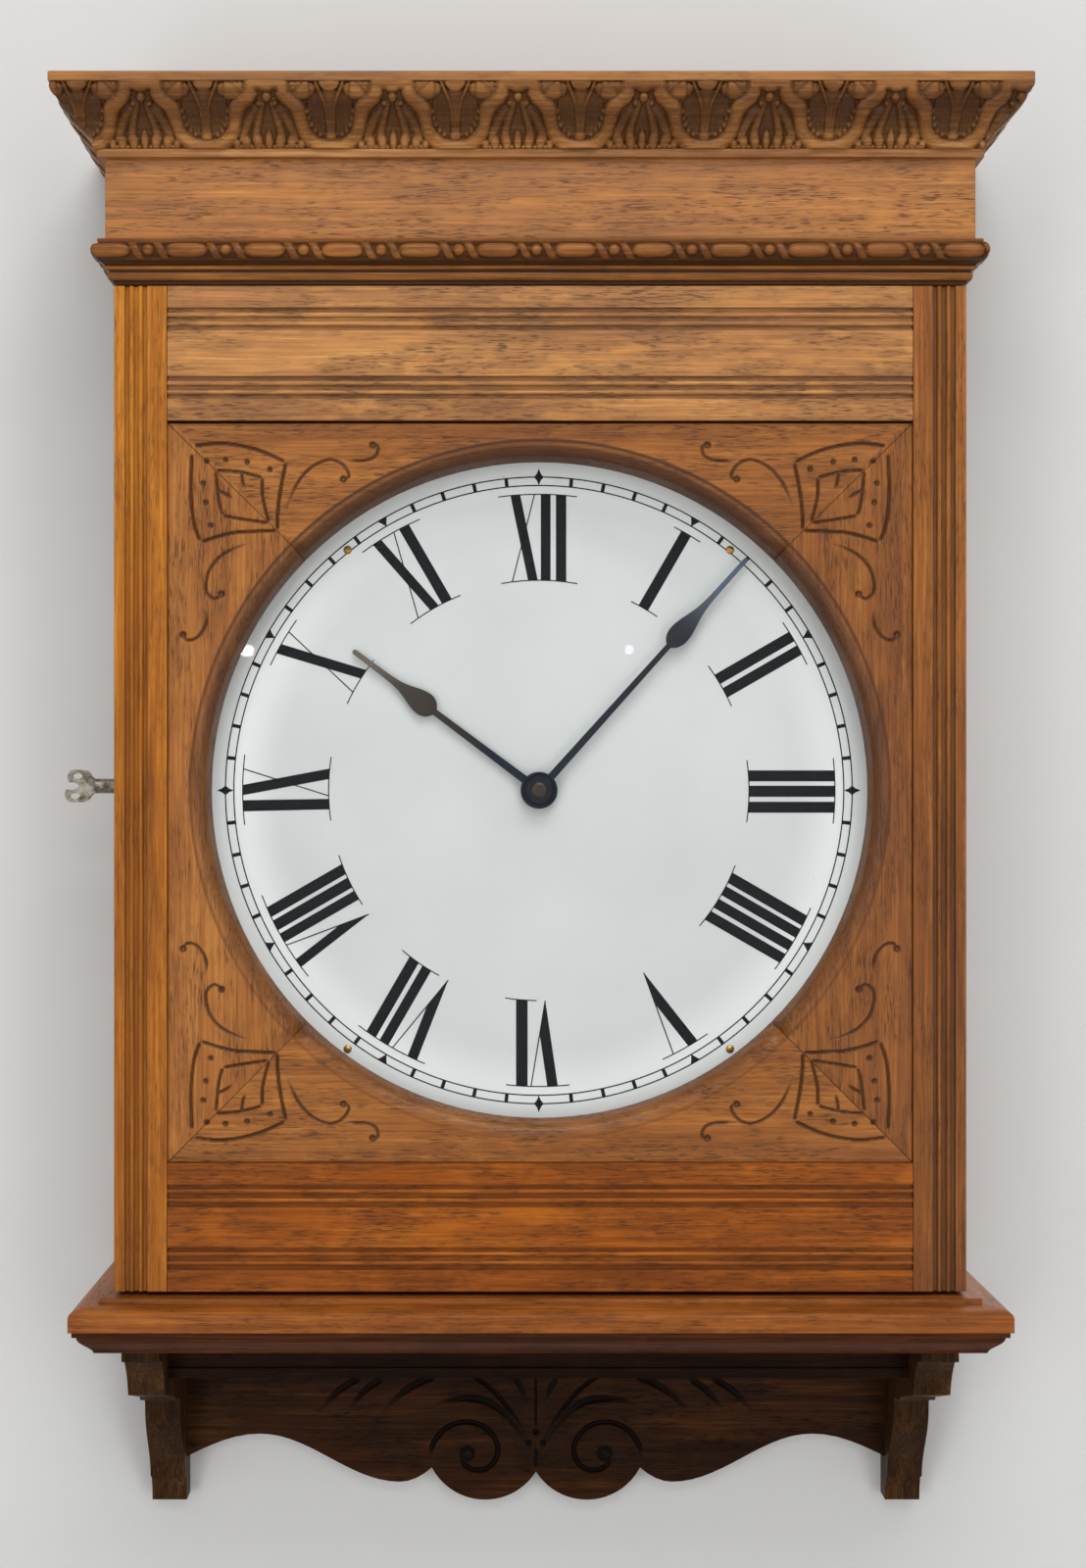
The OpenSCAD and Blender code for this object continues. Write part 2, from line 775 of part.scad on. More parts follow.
module minute_wheel() {
    y = y_front0 - 4.5;
    color(brass) difference() {
        union() {
            wheel(minute_at, y, 1.5, minute_n, motion_mod, bearing(minute_at, [0, 0]), 4, true);
            pinion(minute_at, y_front0 - 13, y + eps, leaves, hour_mod,
                bearing(minute_at, [0, 0]), false);
            bar_y(minute_at, y, y_front0 - 0.4, arbor_r + 1.5);
        }
        bar_y(minute_at, y_front0 - 16, y_front0 + 1, arbor_r + pivot_play);
    }
}

module hour_wheel() {
    y = y_front0 - 12;
    color(brass) difference() {
        union() {
            wheel([0, 0], y, 1.5, hour_n, hour_mod, bearing([0, 0], minute_at), 5, true);
            bar_y([0, 0], y_hour - hand_t - 0.4, y + 1.5, hour_pipe_r);
            bar_y([0, 0], y - eps, y + 4.5, hour_pipe_r);
        }
        bar_y([0, 0], y_hour - 6, y + 6, hour_bore);
    }
}

module third_wheel() {
    color(brass) {
        arbor(third_at);
        pinion(third_at, y_back0 - 12, y_back0 - 5, leaves, centre_mod, bearing(third_at, [0, 0]));
        wheel(third_at, y_back0 - 22, 2, third_n, third_mod, bearing(third_at, fourth_at));
    }
}

module fourth_wheel() {
    color(brass) {
        arbor(fourth_at);
        pinion(fourth_at, y_back0 - 24, y_back0 - 18, leaves, third_mod,
            bearing(fourth_at, third_at));
        wheel(fourth_at, y_back0 - 30, 1.5, fourth_n, fourth_mod, bearing(fourth_at, escape_at));
    }
}

// Thin pointed teeth that lean forward, as in a recoil escapement
module escape_wheel() {
    pitch = 360 / escape_n;
    root = escape_r - 3.4;
    color(brass) {
        arbor(escape_at);
        pinion(escape_at, y_back0 - 32, y_back0 - 26.5, leaves, fourth_mod,
            bearing(escape_at, fourth_at));
        front_plate_of(y_back0 - 36, y_back0 - 34.5) translate(escape_at) difference() {
            polygon([for (i = [0:escape_n - 1], p = [[0, root], [0.3, escape_r], [0.4, escape_r],
                [0.55, root]]) p[1] * [cos(pitch * (i + p[0])), sin(pitch * (i + p[0]))]]);
            crossings(root - 1.8, 5, 5, 1.8);
        }
    }
}

// Anchor over seven and a half teeth, held clear of the tips at both ends of its swing,
// with the crutch that leads the pendulum rod
module pallets() {
    reach = escape_r * sin(swing) + 0.4;
    nib = (escape_r + reach) * [sin(45), cos(45)];
    arm_y = y_back1 + 4;
    fork_z = z_bend - 46;
    color(steel) {
        bar_y(pallet_at, y_front1 + slip, arm_y + 2, arbor_r);
        bar_y(pallet_at, y_front0, y_front1 + 1, pivot_r);
        front_plate_of(y_back0 - 37, y_back0 - 33.5) {
            for (s = [-1, 1]) polygon([pallet_at + [s * -4, 2.5], pallet_at + [s * 3, 4],
                escape_at + [s * (nib[0] + 3.2), nib[1] + 4.5],
                escape_at + [s * (nib[0] + 2.6), nib[1] + 1.2], escape_at + [s * nib[0], nib[1]],
                escape_at + [s * (nib[0] + 0.2), nib[1] + 3.6], pallet_at + [0, -4.5]]);
            translate(pallet_at) circle(4.6);
        }
        block(-1.8, 1.8, arm_y, arm_y + 2, fork_z - 2, z_bend + 3);
        for (s = [0, 1]) mirror([s, 0, 0])
            block(rod_r + slip, rod_r + slip + 1.5, arm_y, y_pend + 3, fork_z - 2, fork_z + 2);
        block(-rod_r - slip - 1.5, rod_r + slip + 1.5, arm_y, arm_y + 2, fork_z - 2, fork_z + 2);
    }
}

module shank(l0, l1, w0, w1) {
    polygon([[-w0 / 2, l0], [w0 / 2, l0], [w1 / 2, l1], [-w1 / 2, l1]]);
}

// Outline of a spade: how far along it, and its width there as a share of the greatest
SPADE = [[0, 0.3], [0.015, 0.5], [0.035, 0.69], [0.06, 0.84], [0.09, 0.95], [0.125, 1], [0.16, 0.99],
    [0.2, 0.94], [0.25, 0.83], [0.3, 0.69], [0.35, 0.555], [0.4, 0.435], [0.45, 0.355], [0.5, 0.305],
    [0.56, 0.275], [0.65, 0.255], [0.8, 0.24], [1, 0.22]];

// Spade: a round belly, then a long hollow taper to a narrow blunt tip
module spade(l0, l1, w) {
    tip = w * 0.11;
    half = [for (p = SPADE) [w / 2 * p[1], l0 + (l1 - tip - l0) * p[0]]];
    polygon(concat(half, [for (p = flip(half)) [-p[0], p[1]]]));
    translate([0, l1 - tip]) circle(tip, $fn = 24);
}

module minute_hand() {
    boss_r = 9;
    spade_at = 137.3;
    color(blued) difference() {
        union() {
            front_plate_of(y_minute - hand_t, y_minute) rotate(-minute_angle) {
                shank(boss_r - 2, spade_at + 3, 5.5, 3.9);
                spade(spade_at, minute_len, minute_spade_w);
            }
            bar_y([0, 0], y_minute - hand_t - 0.8, y_minute + 1, boss_r);
        }
        bar_y([0, 0], y_minute - 5, y_minute + 5, pipe_r + pivot_play);
    }
}

module hour_hand() {
    boss_r = 13;
    spade_at = 92.5;
    color(blued) difference() {
        union() {
            front_plate_of(y_hour - hand_t, y_hour) rotate(-hour_angle) {
                shank(boss_r - 2, spade_at + 3, 5.8, 4.5);
                spade(spade_at, hour_len, hour_spade_w);
            }
            bar_y([0, 0], y_hour - hand_t - 0.4, y_hour + 1.6, boss_r);
        }
        bar_y([0, 0], y_hour - 5, y_hour + 5, hour_pipe_r + pivot_play);
    }
}

module hand_nut() {
    nut_y = y_minute - hand_t - 0.8;
    color(brass) difference() {
        translate([0, nut_y, 0]) rotate([90, 0, 0]) rotate_extrude()
            polygon(concat([[0, 0], [6.4, 0], [6.4, 1.4]], arc([3.4, 1.4], 3, 15, 90, 5), [[0, 4.4]]));
        bar_y([0, 0], nut_y - 3, nut_y + 1, centre_r + pivot_play);
    }
}

// Rewinding motor

motor_y0 = y_back0 - 28;
motor_y1 = y_back0 - 12;
pole_z = rotor_at[1] - 17;
coil_x = 24;
yoke_z = pole_z - 8 - coil_len;

module motor_screw_places() {
    for (s = [-1, 1]) translate([s * 9, 0, yoke_z - 4]) children();
}

// Soft iron yoke, two cores and the pole pieces that embrace the armature
module motor_frame() {
    y_mid = (motor_y0 + motor_y1) / 2;
    color(black) {
        block(-coil_x - 10, coil_x + 10, y_mid - 6, y_mid + 6, yoke_z - 8, yoke_z);
        for (s = [-1, 1]) translate([s * coil_x, y_mid, yoke_z - eps])
            cylinder(h = coil_len + 2 * eps, r = 5);
        difference() {
            for (s = [0, 1]) mirror([s, 0, 0])
                block(10, coil_x + 8, y_mid - 6, y_mid + 6, pole_z - 8, pole_z + 10);
            bar_y(rotor_at, motor_y0 - 4, motor_y1 + 4, armature_r + 0.6);
        }
        // Feet that screw to the back plate
        for (s = [-1, 1]) translate([s * 9, 0, yoke_z - 4]) {
            bar_y([0, 0], y_mid + 6 - eps, y_back0, 4);
            bar_y([0, 0], y_back0 - eps, y_back1, 1.5);
        }
        // Binding posts for the leads
        for (s = [-1, 1]) translate([s * (coil_x + 6), y_mid, yoke_z - 14])
            cylinder(h = 6 + eps, r = 2.5);
    }
}

module motor_coils() {
    y_mid = (motor_y0 + motor_y1) / 2;
    color(copper) for (s = [-1, 1]) translate([s * coil_x, y_mid, yoke_z]) difference() {
        union() {
            cylinder(h = coil_len, r = coil_r - 1.5);
            cylinder(h = 1.5, r = coil_r);
            translate([0, 0, coil_len - 1.5]) cylinder(h = 1.5, r = coil_r);
        }
        translate([0, 0, -1]) cylinder(h = coil_len + 2, r = 5 + pivot_play);
    }
}

// Six iron bars between two brass spiders, with the driving pinion
module motor_rotor() {
    color(steel) {
        arbor(rotor_at);
        pinion(rotor_at, y_back0 - 35, y_back0 - 30.5, leaves, wind_mod,
            bearing(rotor_at, [0, 0]));
        for (y = [motor_y0 + 1, motor_y1 - 2.5]) front_plate_of(y, y + 1.5) translate(rotor_at)
            difference() {
                circle(armature_r - 1);
                crossings(armature_r - 5, 5, 6, 2.4);
            }
        for (i = [0:5]) translate([rotor_at[0], 0, rotor_at[1]]) rotate([0, 60 * i, 0])
            bar_y([armature_r - 3, 0], motor_y0, motor_y1, 2.6);
    }
}

module winding_wheel() {
    y = y_back0 - 33.5;
    color(brass) difference() {
        union() {
            wheel([0, 0], y, 2, wind_n, wind_mod, bearing([0, 0], rotor_at), 6);
            bar_y([0, 0], y - 3, y + 8, centre_r + 3);
        }
        bar_y([0, 0], y - 4, y + 9, centre_r + pivot_play);
    }
}

// Pendulum

// Chops under the bridge with the upper half of the suspension spring
module suspension_block() {
    z0 = plate_top - 6;
    color(brass) {
        block(-4, 4, y_pend - 6, y_pend + 6, z_bend + 4, z0);
        block(-0.25, 0.25, y_pend - 4, y_pend + 4, z_bend + 0.15, z_bend + 4 + eps);
    }
}

module pendulum_rod() {
    color(steel) {
        block(-0.25, 0.25, y_pend - 4, y_pend + 4, z_bend - 9, z_bend - 0.15);
        block(-2.5, 2.5, y_pend - 5, y_pend + 5, z_bend - 15, z_bend - 9 + eps);
        translate([0, y_pend, z_bob - bob_r - 14])
            cylinder(h = z_bend - 15 - z_bob + bob_r + 14 + eps, r = rod_r);
    }
}

module pendulum_bob() {
    edge = 2;
    steps = 8;
    color(brass) difference() {
        translate([0, y_pend, z_bob]) rotate([90, 0, 0]) rotate_extrude($fn = 96)
            polygon(concat(
                [for (i = [0:steps]) [bob_r * cos(90 * i / steps),
                    edge / 2 + (bob_t - edge) / 2 * sin(90 * i / steps)]],
                [for (i = [steps:-1:0]) [bob_r * cos(90 * i / steps),
                    -edge / 2 - (bob_t - edge) / 2 * sin(90 * i / steps)]]));
        translate([0, y_pend, z_bob - bob_r - 1])
            cylinder(h = 2 * bob_r + 2, r = rod_r + pivot_play);
    }
}

module rating_nut() {
    nut_r = 7;
    color(brass) translate([0, y_pend, z_bob - bob_r - 5.1]) difference() {
        union() {
            cylinder(h = 4, r = nut_r);
            translate([0, 0, 4 - eps]) cylinder(h = 1, r = 3.5);
            for (i = [0:23]) rotate(15 * i) translate([nut_r, 0, 0]) cylinder(h = 4, r = 0.5);
        }
        translate([0, 0, -1]) cylinder(h = 7, r = rod_r + pivot_play);
    }
}

// Battery

cell_y = y_dial + cell_back;
cell_top = z_base + cell_h;

module dry_cells() {
    color(black) for (s = [-1, 1]) translate([s * cell_x, cell_y, 0]) difference() {
        translate([0, 0, z_base]) cylinder(h = cell_h, r = cell_r);
        translate([0, 0, cell_top - 4]) cylinder(h = 5, r = cell_r - 2);
    }
}

// Carbon post in the middle and zinc post by the rim, each with a nut
module cell_terminals() {
    color(brass) for (s = [-1, 1], p = [[0, 6], [-s * 24, 3]])
        translate([s * cell_x + p[0], cell_y, cell_top - 4]) {
            cylinder(h = 6, r = p[1]);
            translate([0, 0, 6 - eps]) cylinder(h = 8, r = 1.6);
            translate([0, 0, 8]) cylinder(h = 2.4, r = 3, $fn = 6);
        }
}

// Bent straps that hold the cells to the back board
module battery_straps() {
    t = 1.2;
    r = cell_r + 0.1;
    foot = r + t + 14;
    z = z_base + cell_h * 0.6;
    color(steel) for (s = [-1, 1]) translate([s * cell_x, 0, z]) linear_extrude(16)
        polygon(concat(arc([0, cell_y], r + t, 0, -180, 36),
            [[-r - t, y_board - t], [-foot, y_board - t], [-foot, y_board], [-r, y_board]],
            arc([0, cell_y], r, -180, 0, 36),
            [[r, y_board], [foot, y_board], [foot, y_board - t], [r + t, y_board - t]]));
}

// Round wire from point to point, a little thicker where it bends
module wire(path, r) {
    for (i = [0:len(path) - 2]) {
        d = path[i + 1] - path[i];
        translate(path[i]) rotate([0, acos(d[2] / norm(d)), atan2(d[1], d[0])])
            cylinder(h = norm(d), r = r);
        if (i > 0) translate(path[i]) sphere(r * 1.2);
    }
}

module battery_leads() {
    r = 1.2;
    post = cell_top + 10;
    coil_post = [coil_x + 6, (motor_y0 + motor_y1) / 2, yoke_z - 14];
    color("darkred") for (s = [-1, 1])
        wire([[s * cell_x, cell_y, post], [s * cell_x, cell_y, post + 18],
            [s * coil_post[0], coil_post[1], coil_post[2] - 20],
            [s * coil_post[0], coil_post[1], coil_post[2]]], r);
    x = cell_x - 24;
    color("darkred") wire([[-x, cell_y, post], [-x, cell_y, post + 9], [0, cell_y, post + 4],
        [x, cell_y, post + 9], [x, cell_y, post]], r);
}

// Front frame

module stile_shape() {
    difference() {
        translate([-half_w, y_face]) square([stile_w, door_t]);
        translate([-half_w + stile_flat + reed_band / 2, y_face]) reeds();
    }
}

module left_stile() {
    color(oak) translate([0, 0, -door_drop]) linear_extrude(door_drop + door_rise) stile_shape();
}

module right_stile() {
    color(oak) difference() {
        mirror([1, 0, 0]) translate([0, 0, -door_drop]) linear_extrude(door_drop + door_rise)
            stile_shape();
        hinge_mortise();
    }
}

// Rail between the stiles with a band of reeds near each long edge
module rail(z0, z1) {
    line = 0.3;
    translate([frame_half - line, 0, 0]) rotate([90, 0, -90])
        linear_extrude(2 * frame_half - 2 * line) difference() {
            translate([-y_door, z0]) square([door_t, z1 - z0]);
            for (z = [z0 + rail_flat + reed_band / 2, z1 - rail_flat - reed_band / 2])
                translate([-y_face, z]) rotate(90) reeds();
        }
}

module top_rail() {
    color(oak) rail(frame_top, door_rise);
}

module bottom_rail() {
    color(oak) rail(-door_drop, frame_low);
}

// Cut of the opening: rounded edge, sloping wall and the rebate of the glass from behind
module opening_cut() {
    wall_r = open_r + 2.5;
    depth = y_glass - y_frame;
    translate([0, y_frame, 0]) rotate([-90, 0, 0]) rotate_extrude($fn = 128)
        polygon(concat([[0, -1], [open_r + open_edge, -1]],
            [for (i = [0:8]) [wall_r + (open_r + open_edge - wall_r) * (1 - sin(90 * i / 8)),
                open_edge_d * (1 - cos(90 * i / 8))]],
            [[open_r, depth], [open_r, depth + eps], [glass_r + slip, depth + eps]],
            [[glass_r + slip, depth + glass_t + 2], [0, depth + glass_t + 2]]));
}

// Four boards mitred at the corners of the round opening
module spandrel_frame() {
    line = 0.3;
    g = mitre_gap / 2;
    x = frame_half - line;
    top = frame_top - rail_shadow;
    low = frame_low + line;
    color(oak) difference() {
        front_plate_of(y_frame, y_door) {
            polygon([[-x + 2 * g, top], [x - 2 * g, top], [0, 2 * g]]);
            polygon([[-x + 2 * g, low], [0, -2 * g], [x - 2 * g, low]]);
            for (s = [-1, 1])
                polygon([[s * x, top - 2 * g], [s * x, low + 2 * g], [s * 2 * g, 0]]);
        }
        opening_cut();
    }
}

module glass() {
    color([0.8, 0.9, 0.92, 0.35]) bar_y([0, 0], y_glass + eps, y_door, glass_r);
}

// Ring behind the glass
module glass_stop() {
    color(oak_dark) difference() {
        bar_y([0, 0], y_door, y_door + 2, glass_r + 8);
        bar_y([0, 0], y_door - 1, y_door + 3, open_r + 1);
    }
}

// Hinges, the pin line lies just outside the side of the case

knuckle_h = hinge_h / 3;

module knuckle(z0, z1) {
    difference() {
        translate([hinge_x, hinge_y, z0]) cylinder(h = z1 - z0, r = knuckle_r);
        translate([hinge_x, hinge_y, z0 - 1])
            cylinder(h = z1 - z0 + 2, r = hinge_pin_r + turn_play);
    }
}

// Leaf that reaches its knuckle without touching the other leaf's knuckles
module leaf(side, parts) {
    gap = 0.1;
    y0 = side < 0 ? hinge_y - leaf_t : hinge_y + gap;
    y1 = side < 0 ? hinge_y - gap : hinge_y + leaf_t;
    for (s = [-1, 1]) {
        z0 = s * hinge_z - hinge_h / 2;
        block(half_w - leaf_reach, hinge_x - knuckle_r - 2 * slip, y0, y1, z0, z0 + hinge_h);
        for (i = parts) {
            lo = z0 + i * knuckle_h + slip / 2;
            hi = z0 + (i + 1) * knuckle_h - slip / 2;
            knuckle(lo, hi);
            difference() {
                block(hinge_x - knuckle_r - 2 * slip - eps, hinge_x, y0, y1, lo, hi);
                translate([hinge_x, hinge_y, lo - 1])
                    cylinder(h = hi - lo + 2, r = hinge_pin_r + turn_play);
            }
        }
    }
}

module door_hinge_leaves() {
    color(brass) leaf(-1, [1]);
}

module case_hinge_leaves() {
    color(brass) leaf(1, [0, 2]);
}

module hinge_pins() {
    color(brass) for (s = [-1, 1]) translate([hinge_x, hinge_y, s * hinge_z - hinge_h / 2]) {
        translate([0, 0, -0.5]) cylinder(h = hinge_h + 1, r = hinge_pin_r);
        for (z = [-pin_head, hinge_h + 0.2])
            translate([0, 0, z]) cylinder(h = pin_head - 0.2, r = knuckle_r - 0.4);
    }
}

// Lock

// Keeper behind the left stile, with a lip that the cam's nose passes in front of
module strike_plate() {
    x = cam_x + cam_t;
    lip_y = y_lock - cam_len + 4.5;
    color(steel) {
        block(x + 1, x + 9, y_door, y_door + 2, lock_z - 16, lock_z + 16);
        block(x + 5, x + 7, y_door + 2 - eps, lip_y + 2, lock_z - 8, lock_z + 8);
        block(x + 0.8, x + 5 + eps, lip_y, lip_y + 2, lock_z - 8, lock_z + 8);
    }
}

module latch_spindle() {
    color(steel) {
        bar_x(-half_w - 0.8, cam_x + cam_t + 3, y_lock, lock_z, spindle_r);
        block(-half_w - 16, -half_w - 0.8 + eps, y_lock - square_w / 2, y_lock + square_w / 2,
            lock_z - square_w / 2, lock_z + square_w / 2);
    }
}

module latch_cam() {
    w = 5.5;
    color(steel) difference() {
        union() {
            bar_x(cam_x, cam_x + cam_t, y_lock, lock_z, 9);
            block(cam_x, cam_x + cam_t, y_lock - w, y_lock + w, lock_z - cam_len, lock_z);
            block(cam_x + cam_t - eps, cam_x + cam_t + 4, y_lock - w, y_lock + w,
                lock_z - cam_len, lock_z - cam_len + 3);
        }
        bar_x(cam_x - 1, cam_x + 6, y_lock, lock_z, spindle_r + turn_play);
    }
}

module escutcheon() {
    color(pewter) difference() {
        bar_x(-half_w - 1.2, -half_w, y_lock, lock_z, 10);
        bar_x(-half_w - 3, -half_w + 1, y_lock, lock_z, spindle_r + 0.6);
    }
}

// Bow stamped from plate, with its neck at the origin: two lobes that flare from the neck, a notch
// between them and an oval hole in each
module bow_shape() {
    lobe_r = 5.6;
    lobe = [bow_len - lobe_r - bow_lean, 6.3];
    difference() {
        for (s = [-1, 1]) mirror([0, s < 0 ? 1 : 0]) {
            d = s * bow_lean;
            translate([lobe[0] + d, lobe[1]]) circle(lobe_r);
            translate([9.2 + d / 2, 5.9]) circle(5.8);
            polygon([[-3, 0], [-3, key_r - 0.4], [0, key_r - 0.4], [2.4, key_r + 1.2], [5, 9.8],
                [9.2 + d / 2, 11.7], [lobe[0] + d, lobe[1] + lobe_r], [lobe[0] + d, 0]]);
        }
        polygon([[12.1, 0], [14.4, 2.1], [17.6, 2.9], [25, 1.9], [25, -1.9], [17.6, -2.9], [14.4, -2.1]]);
        for (s = [-1, 1])
            translate([14.3 + s * bow_lean, s * 7.3]) scale([1.8, 1]) circle(1.95);
    }
}

// Key: the bow, bent a little by years of use, on a barrel with a square socket
module key() {
    tip = -half_w - key_reach;
    neck = tip + bow_len;
    start = -half_w - 2;
    bow_t = 2;
    sq = square_w + 2 * turn_play;
    color(pewter) {
        difference() {
            bar_x(neck, start, y_lock, lock_z, key_r);
            block(-half_w - 18, start + 1, y_lock - sq / 2, y_lock + sq / 2,
                lock_z - sq / 2, lock_z + sq / 2);
        }
        front_plate_of(y_lock - bow_t / 2, y_lock + bow_t / 2)
            translate([neck, lock_z]) rotate(180) bow_shape();
    }
}

back_board();
left_side();
right_side();
head_rail();
crown_top();
crown_moulding();
frieze();
bead_moulding();
base_board();
base_moulding();
under_rail();
brackets();
apron();
hanger_plate();
dial_rails();
dial_pan();
dial_screws();
movement_seat();
back_plate();
front_plate();
plate_pillars();
motor_frame();
motor_coils();
motor_rotor();
winding_wheel();
centre_arbor();
centre_wheel();
cannon_pinion();
minute_wheel();
hour_wheel();
third_wheel();
fourth_wheel();
escape_wheel();
pallets();
suspension_block();
pendulum_rod();
pendulum_bob();
rating_nut();
dry_cells();
cell_terminals();
battery_straps();
battery_leads();
left_stile();
right_stile();
top_rail();
bottom_rail();
spandrel_frame();
glass();
glass_stop();
door_hinge_leaves();
case_hinge_leaves();
hinge_pins();
strike_plate();
latch_spindle();
latch_cam();
escutcheon();
key();
minute_hand();
hour_hand();
hand_nut();
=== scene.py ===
"""Looks of an oak wall clock: carved crown, bead and reel, gouged corners and apron, printed dial, finishes.

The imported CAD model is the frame. Places below are in millimetres in the same frame as the CAD:
X to the right, Z up, the wall is Y = 0 and the front looks along -Y.
"""
import math

import bmesh
import bpy
import numpy as np
from mathutils import Matrix, Vector


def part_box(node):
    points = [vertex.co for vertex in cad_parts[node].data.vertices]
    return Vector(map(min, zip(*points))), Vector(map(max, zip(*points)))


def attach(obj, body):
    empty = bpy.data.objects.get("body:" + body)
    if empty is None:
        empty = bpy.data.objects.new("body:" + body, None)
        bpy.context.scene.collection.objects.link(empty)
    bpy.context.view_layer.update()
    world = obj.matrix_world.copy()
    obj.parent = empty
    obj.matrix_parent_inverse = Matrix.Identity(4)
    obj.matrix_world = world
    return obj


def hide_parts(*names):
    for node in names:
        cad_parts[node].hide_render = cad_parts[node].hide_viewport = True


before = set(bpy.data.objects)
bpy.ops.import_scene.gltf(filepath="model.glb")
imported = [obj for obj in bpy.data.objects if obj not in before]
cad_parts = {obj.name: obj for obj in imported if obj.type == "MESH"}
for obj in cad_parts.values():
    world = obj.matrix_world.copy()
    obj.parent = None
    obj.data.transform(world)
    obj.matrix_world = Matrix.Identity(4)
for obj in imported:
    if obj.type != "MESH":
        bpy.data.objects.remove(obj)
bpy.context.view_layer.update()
for leftover in ("Cube", "Light", "Camera"):
    if leftover in bpy.data.objects:
        bpy.data.objects.remove(bpy.data.objects[leftover])

MM = 0.001


# Planes and levels of the case, read from the CAD

def low_end(node, axis):
    """Where a CAD node starts along an axis, to a tenth of a millimetre."""
    return round(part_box(node)[0]["XYZ".index(axis)] / MM, 1)


def high_end(node, axis):
    """Where a CAD node ends along an axis, to a tenth of a millimetre."""
    return round(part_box(node)[1]["XYZ".index(axis)] / MM, 1)


HALF_W = high_end("right_stile", "X")
FACE_Y = low_end("right_stile", "Y")
CROWN_Z = low_end("crown_moulding", "Z")
TOP_Z = high_end("crown_moulding", "Z")
CROWN_REACH = round(high_end("crown_moulding", "X") - HALF_W, 1)
BEAD_Z = low_end("bead_moulding", "Z")
FRIEZE_Z = low_end("frieze", "Z")
BEAD_REACH = round(high_end("bead_moulding", "X") - HALF_W, 1)
FIELD_Y = low_end("spandrel_frame", "Y")
APRON_Y = low_end("apron", "Y")
# The dial's painted face lies one sheet in front of its back
DIAL_SHEET = 1.2
DIAL_Y = round(high_end("dial_pan", "Y") - DIAL_SHEET, 1)

# The photograph's camera: its place in mm, its lens and sensor in mm, the photograph's height in
# pixels, and the pixel that it looks straight at
CAMERA = (-34.5, -1794.0, -14.3)
LENS, SENSOR = 53.84, 36.0
PHOTO_HEIGHT = 1600
AXIS_PIXEL = (503, 827)


def pixel_size(y):
    """How many millimetres a pixel of the photograph spans on the plane at y."""
    return round((y - CAMERA[1]) / (LENS / SENSOR * PHOTO_HEIGHT), 4)


FIELD_PIXEL = pixel_size(FIELD_Y)
APRON_PIXEL = pixel_size(APRON_Y)


# Meshes

def new_object(name, mesh):
    """An object in the scene for a mesh."""
    piece = bpy.data.objects.new(name, mesh)
    bpy.context.scene.collection.objects.link(piece)
    return piece


def mesh_from(name, points, faces):
    """A mesh from points in millimetres."""
    mesh = bpy.data.meshes.new(name)
    mesh.from_pydata([tuple(p) for p in np.asarray(points, float) * MM], [], faces)
    mesh.validate()
    return mesh


def outwards(mesh):
    """Turns every face of a closed mesh outwards."""
    work = bmesh.new()
    work.from_mesh(mesh)
    bmesh.ops.recalc_face_normals(work, faces=work.faces[:])
    work.to_mesh(mesh)
    work.free()
    return mesh


def smooth(mesh, degrees):
    """Smooth shading, with edges sharper than so many degrees kept."""
    mesh.polygons.foreach_set("use_smooth", [True] * len(mesh.polygons))
    mesh.set_sharp_from_angle(angle=math.radians(degrees))
    return mesh


def plain(piece, name):
    """A plain copy of a piece with its modifiers worked in. The piece itself goes."""
    graph = bpy.context.evaluated_depsgraph_get()
    mesh = bpy.data.meshes.new_from_object(piece.evaluated_get(graph))
    mesh.name = name
    bpy.data.objects.remove(piece)
    return new_object(name, mesh)


def grown(piece, tree, name, **values):
    """A piece run through a Geometry Nodes tree whose inputs are set by name, as a plain mesh."""
    modifier = piece.modifiers.new(tree.name, "NODES")
    modifier.node_group = tree
    for item in tree.interface.items_tree:
        if item.in_out == "INPUT" and item.name in values:
            modifier[item.identifier] = values[item.name]
    return plain(piece, name)


def dressed(piece, material, body, slot, *nodes):
    """Gives a finished piece its material and body, and hides the CAD nodes it stands for. slot is not used.
    """
    piece.data.materials.clear()
    piece.data.materials.append(material)
    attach(piece, body)
    if nodes:
        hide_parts(*nodes)
    return piece


def worked_copy(node, name):
    """A merged copy of a CAD node's mesh, to be carved. Where its solids meet they are joined."""
    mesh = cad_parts[node].data.copy()
    work = bmesh.new()
    work.from_mesh(mesh)
    bmesh.ops.remove_doubles(work, verts=work.verts[:], dist=1e-6)
    shared = {v for edge in work.edges if len(edge.link_faces) > 2 for v in edge.verts}
    between = [face for face in work.faces
               if abs(face.normal.y) < 0.5 and all(v in shared for v in face.verts)]
    bmesh.ops.delete(work, geom=between, context="FACES")
    work.to_mesh(mesh)
    work.free()
    return new_object(name, mesh)


# Nodes and colours

def linear(code):
    """An sRGB hex colour as linear RGBA."""
    parts = [int(code[i:i + 2], 16) / 255 for i in (1, 3, 5)]
    return tuple(v / 12.92 if v <= 0.04045 else ((v + 0.055) / 1.055) ** 2.4 for v in parts) + (1.0,)


def add(tree, kind, inputs=None, stops=(), **settings):
    """Adds a node. An input is a number, a colour, a socket, or a node whose first output is used.
    stops are the places and colours of a colour ramp."""
    made = tree.nodes.new(kind)
    for key, value in settings.items():
        setattr(made, key, value)
    for key, value in (inputs or {}).items():
        if isinstance(value, bpy.types.Node):
            value = value.outputs[0]
        if isinstance(value, bpy.types.NodeSocket):
            tree.links.new(value, made.inputs[key])
        else:
            made.inputs[key].default_value = value
    while stops and len(made.color_ramp.elements) < len(stops):
        made.color_ramp.elements.new(0.5)
    for number, (place, colour) in enumerate(stops):
        element = made.color_ramp.elements[number]
        element.position = place
        element.color = linear(colour) if isinstance(colour, str) else colour
    return made


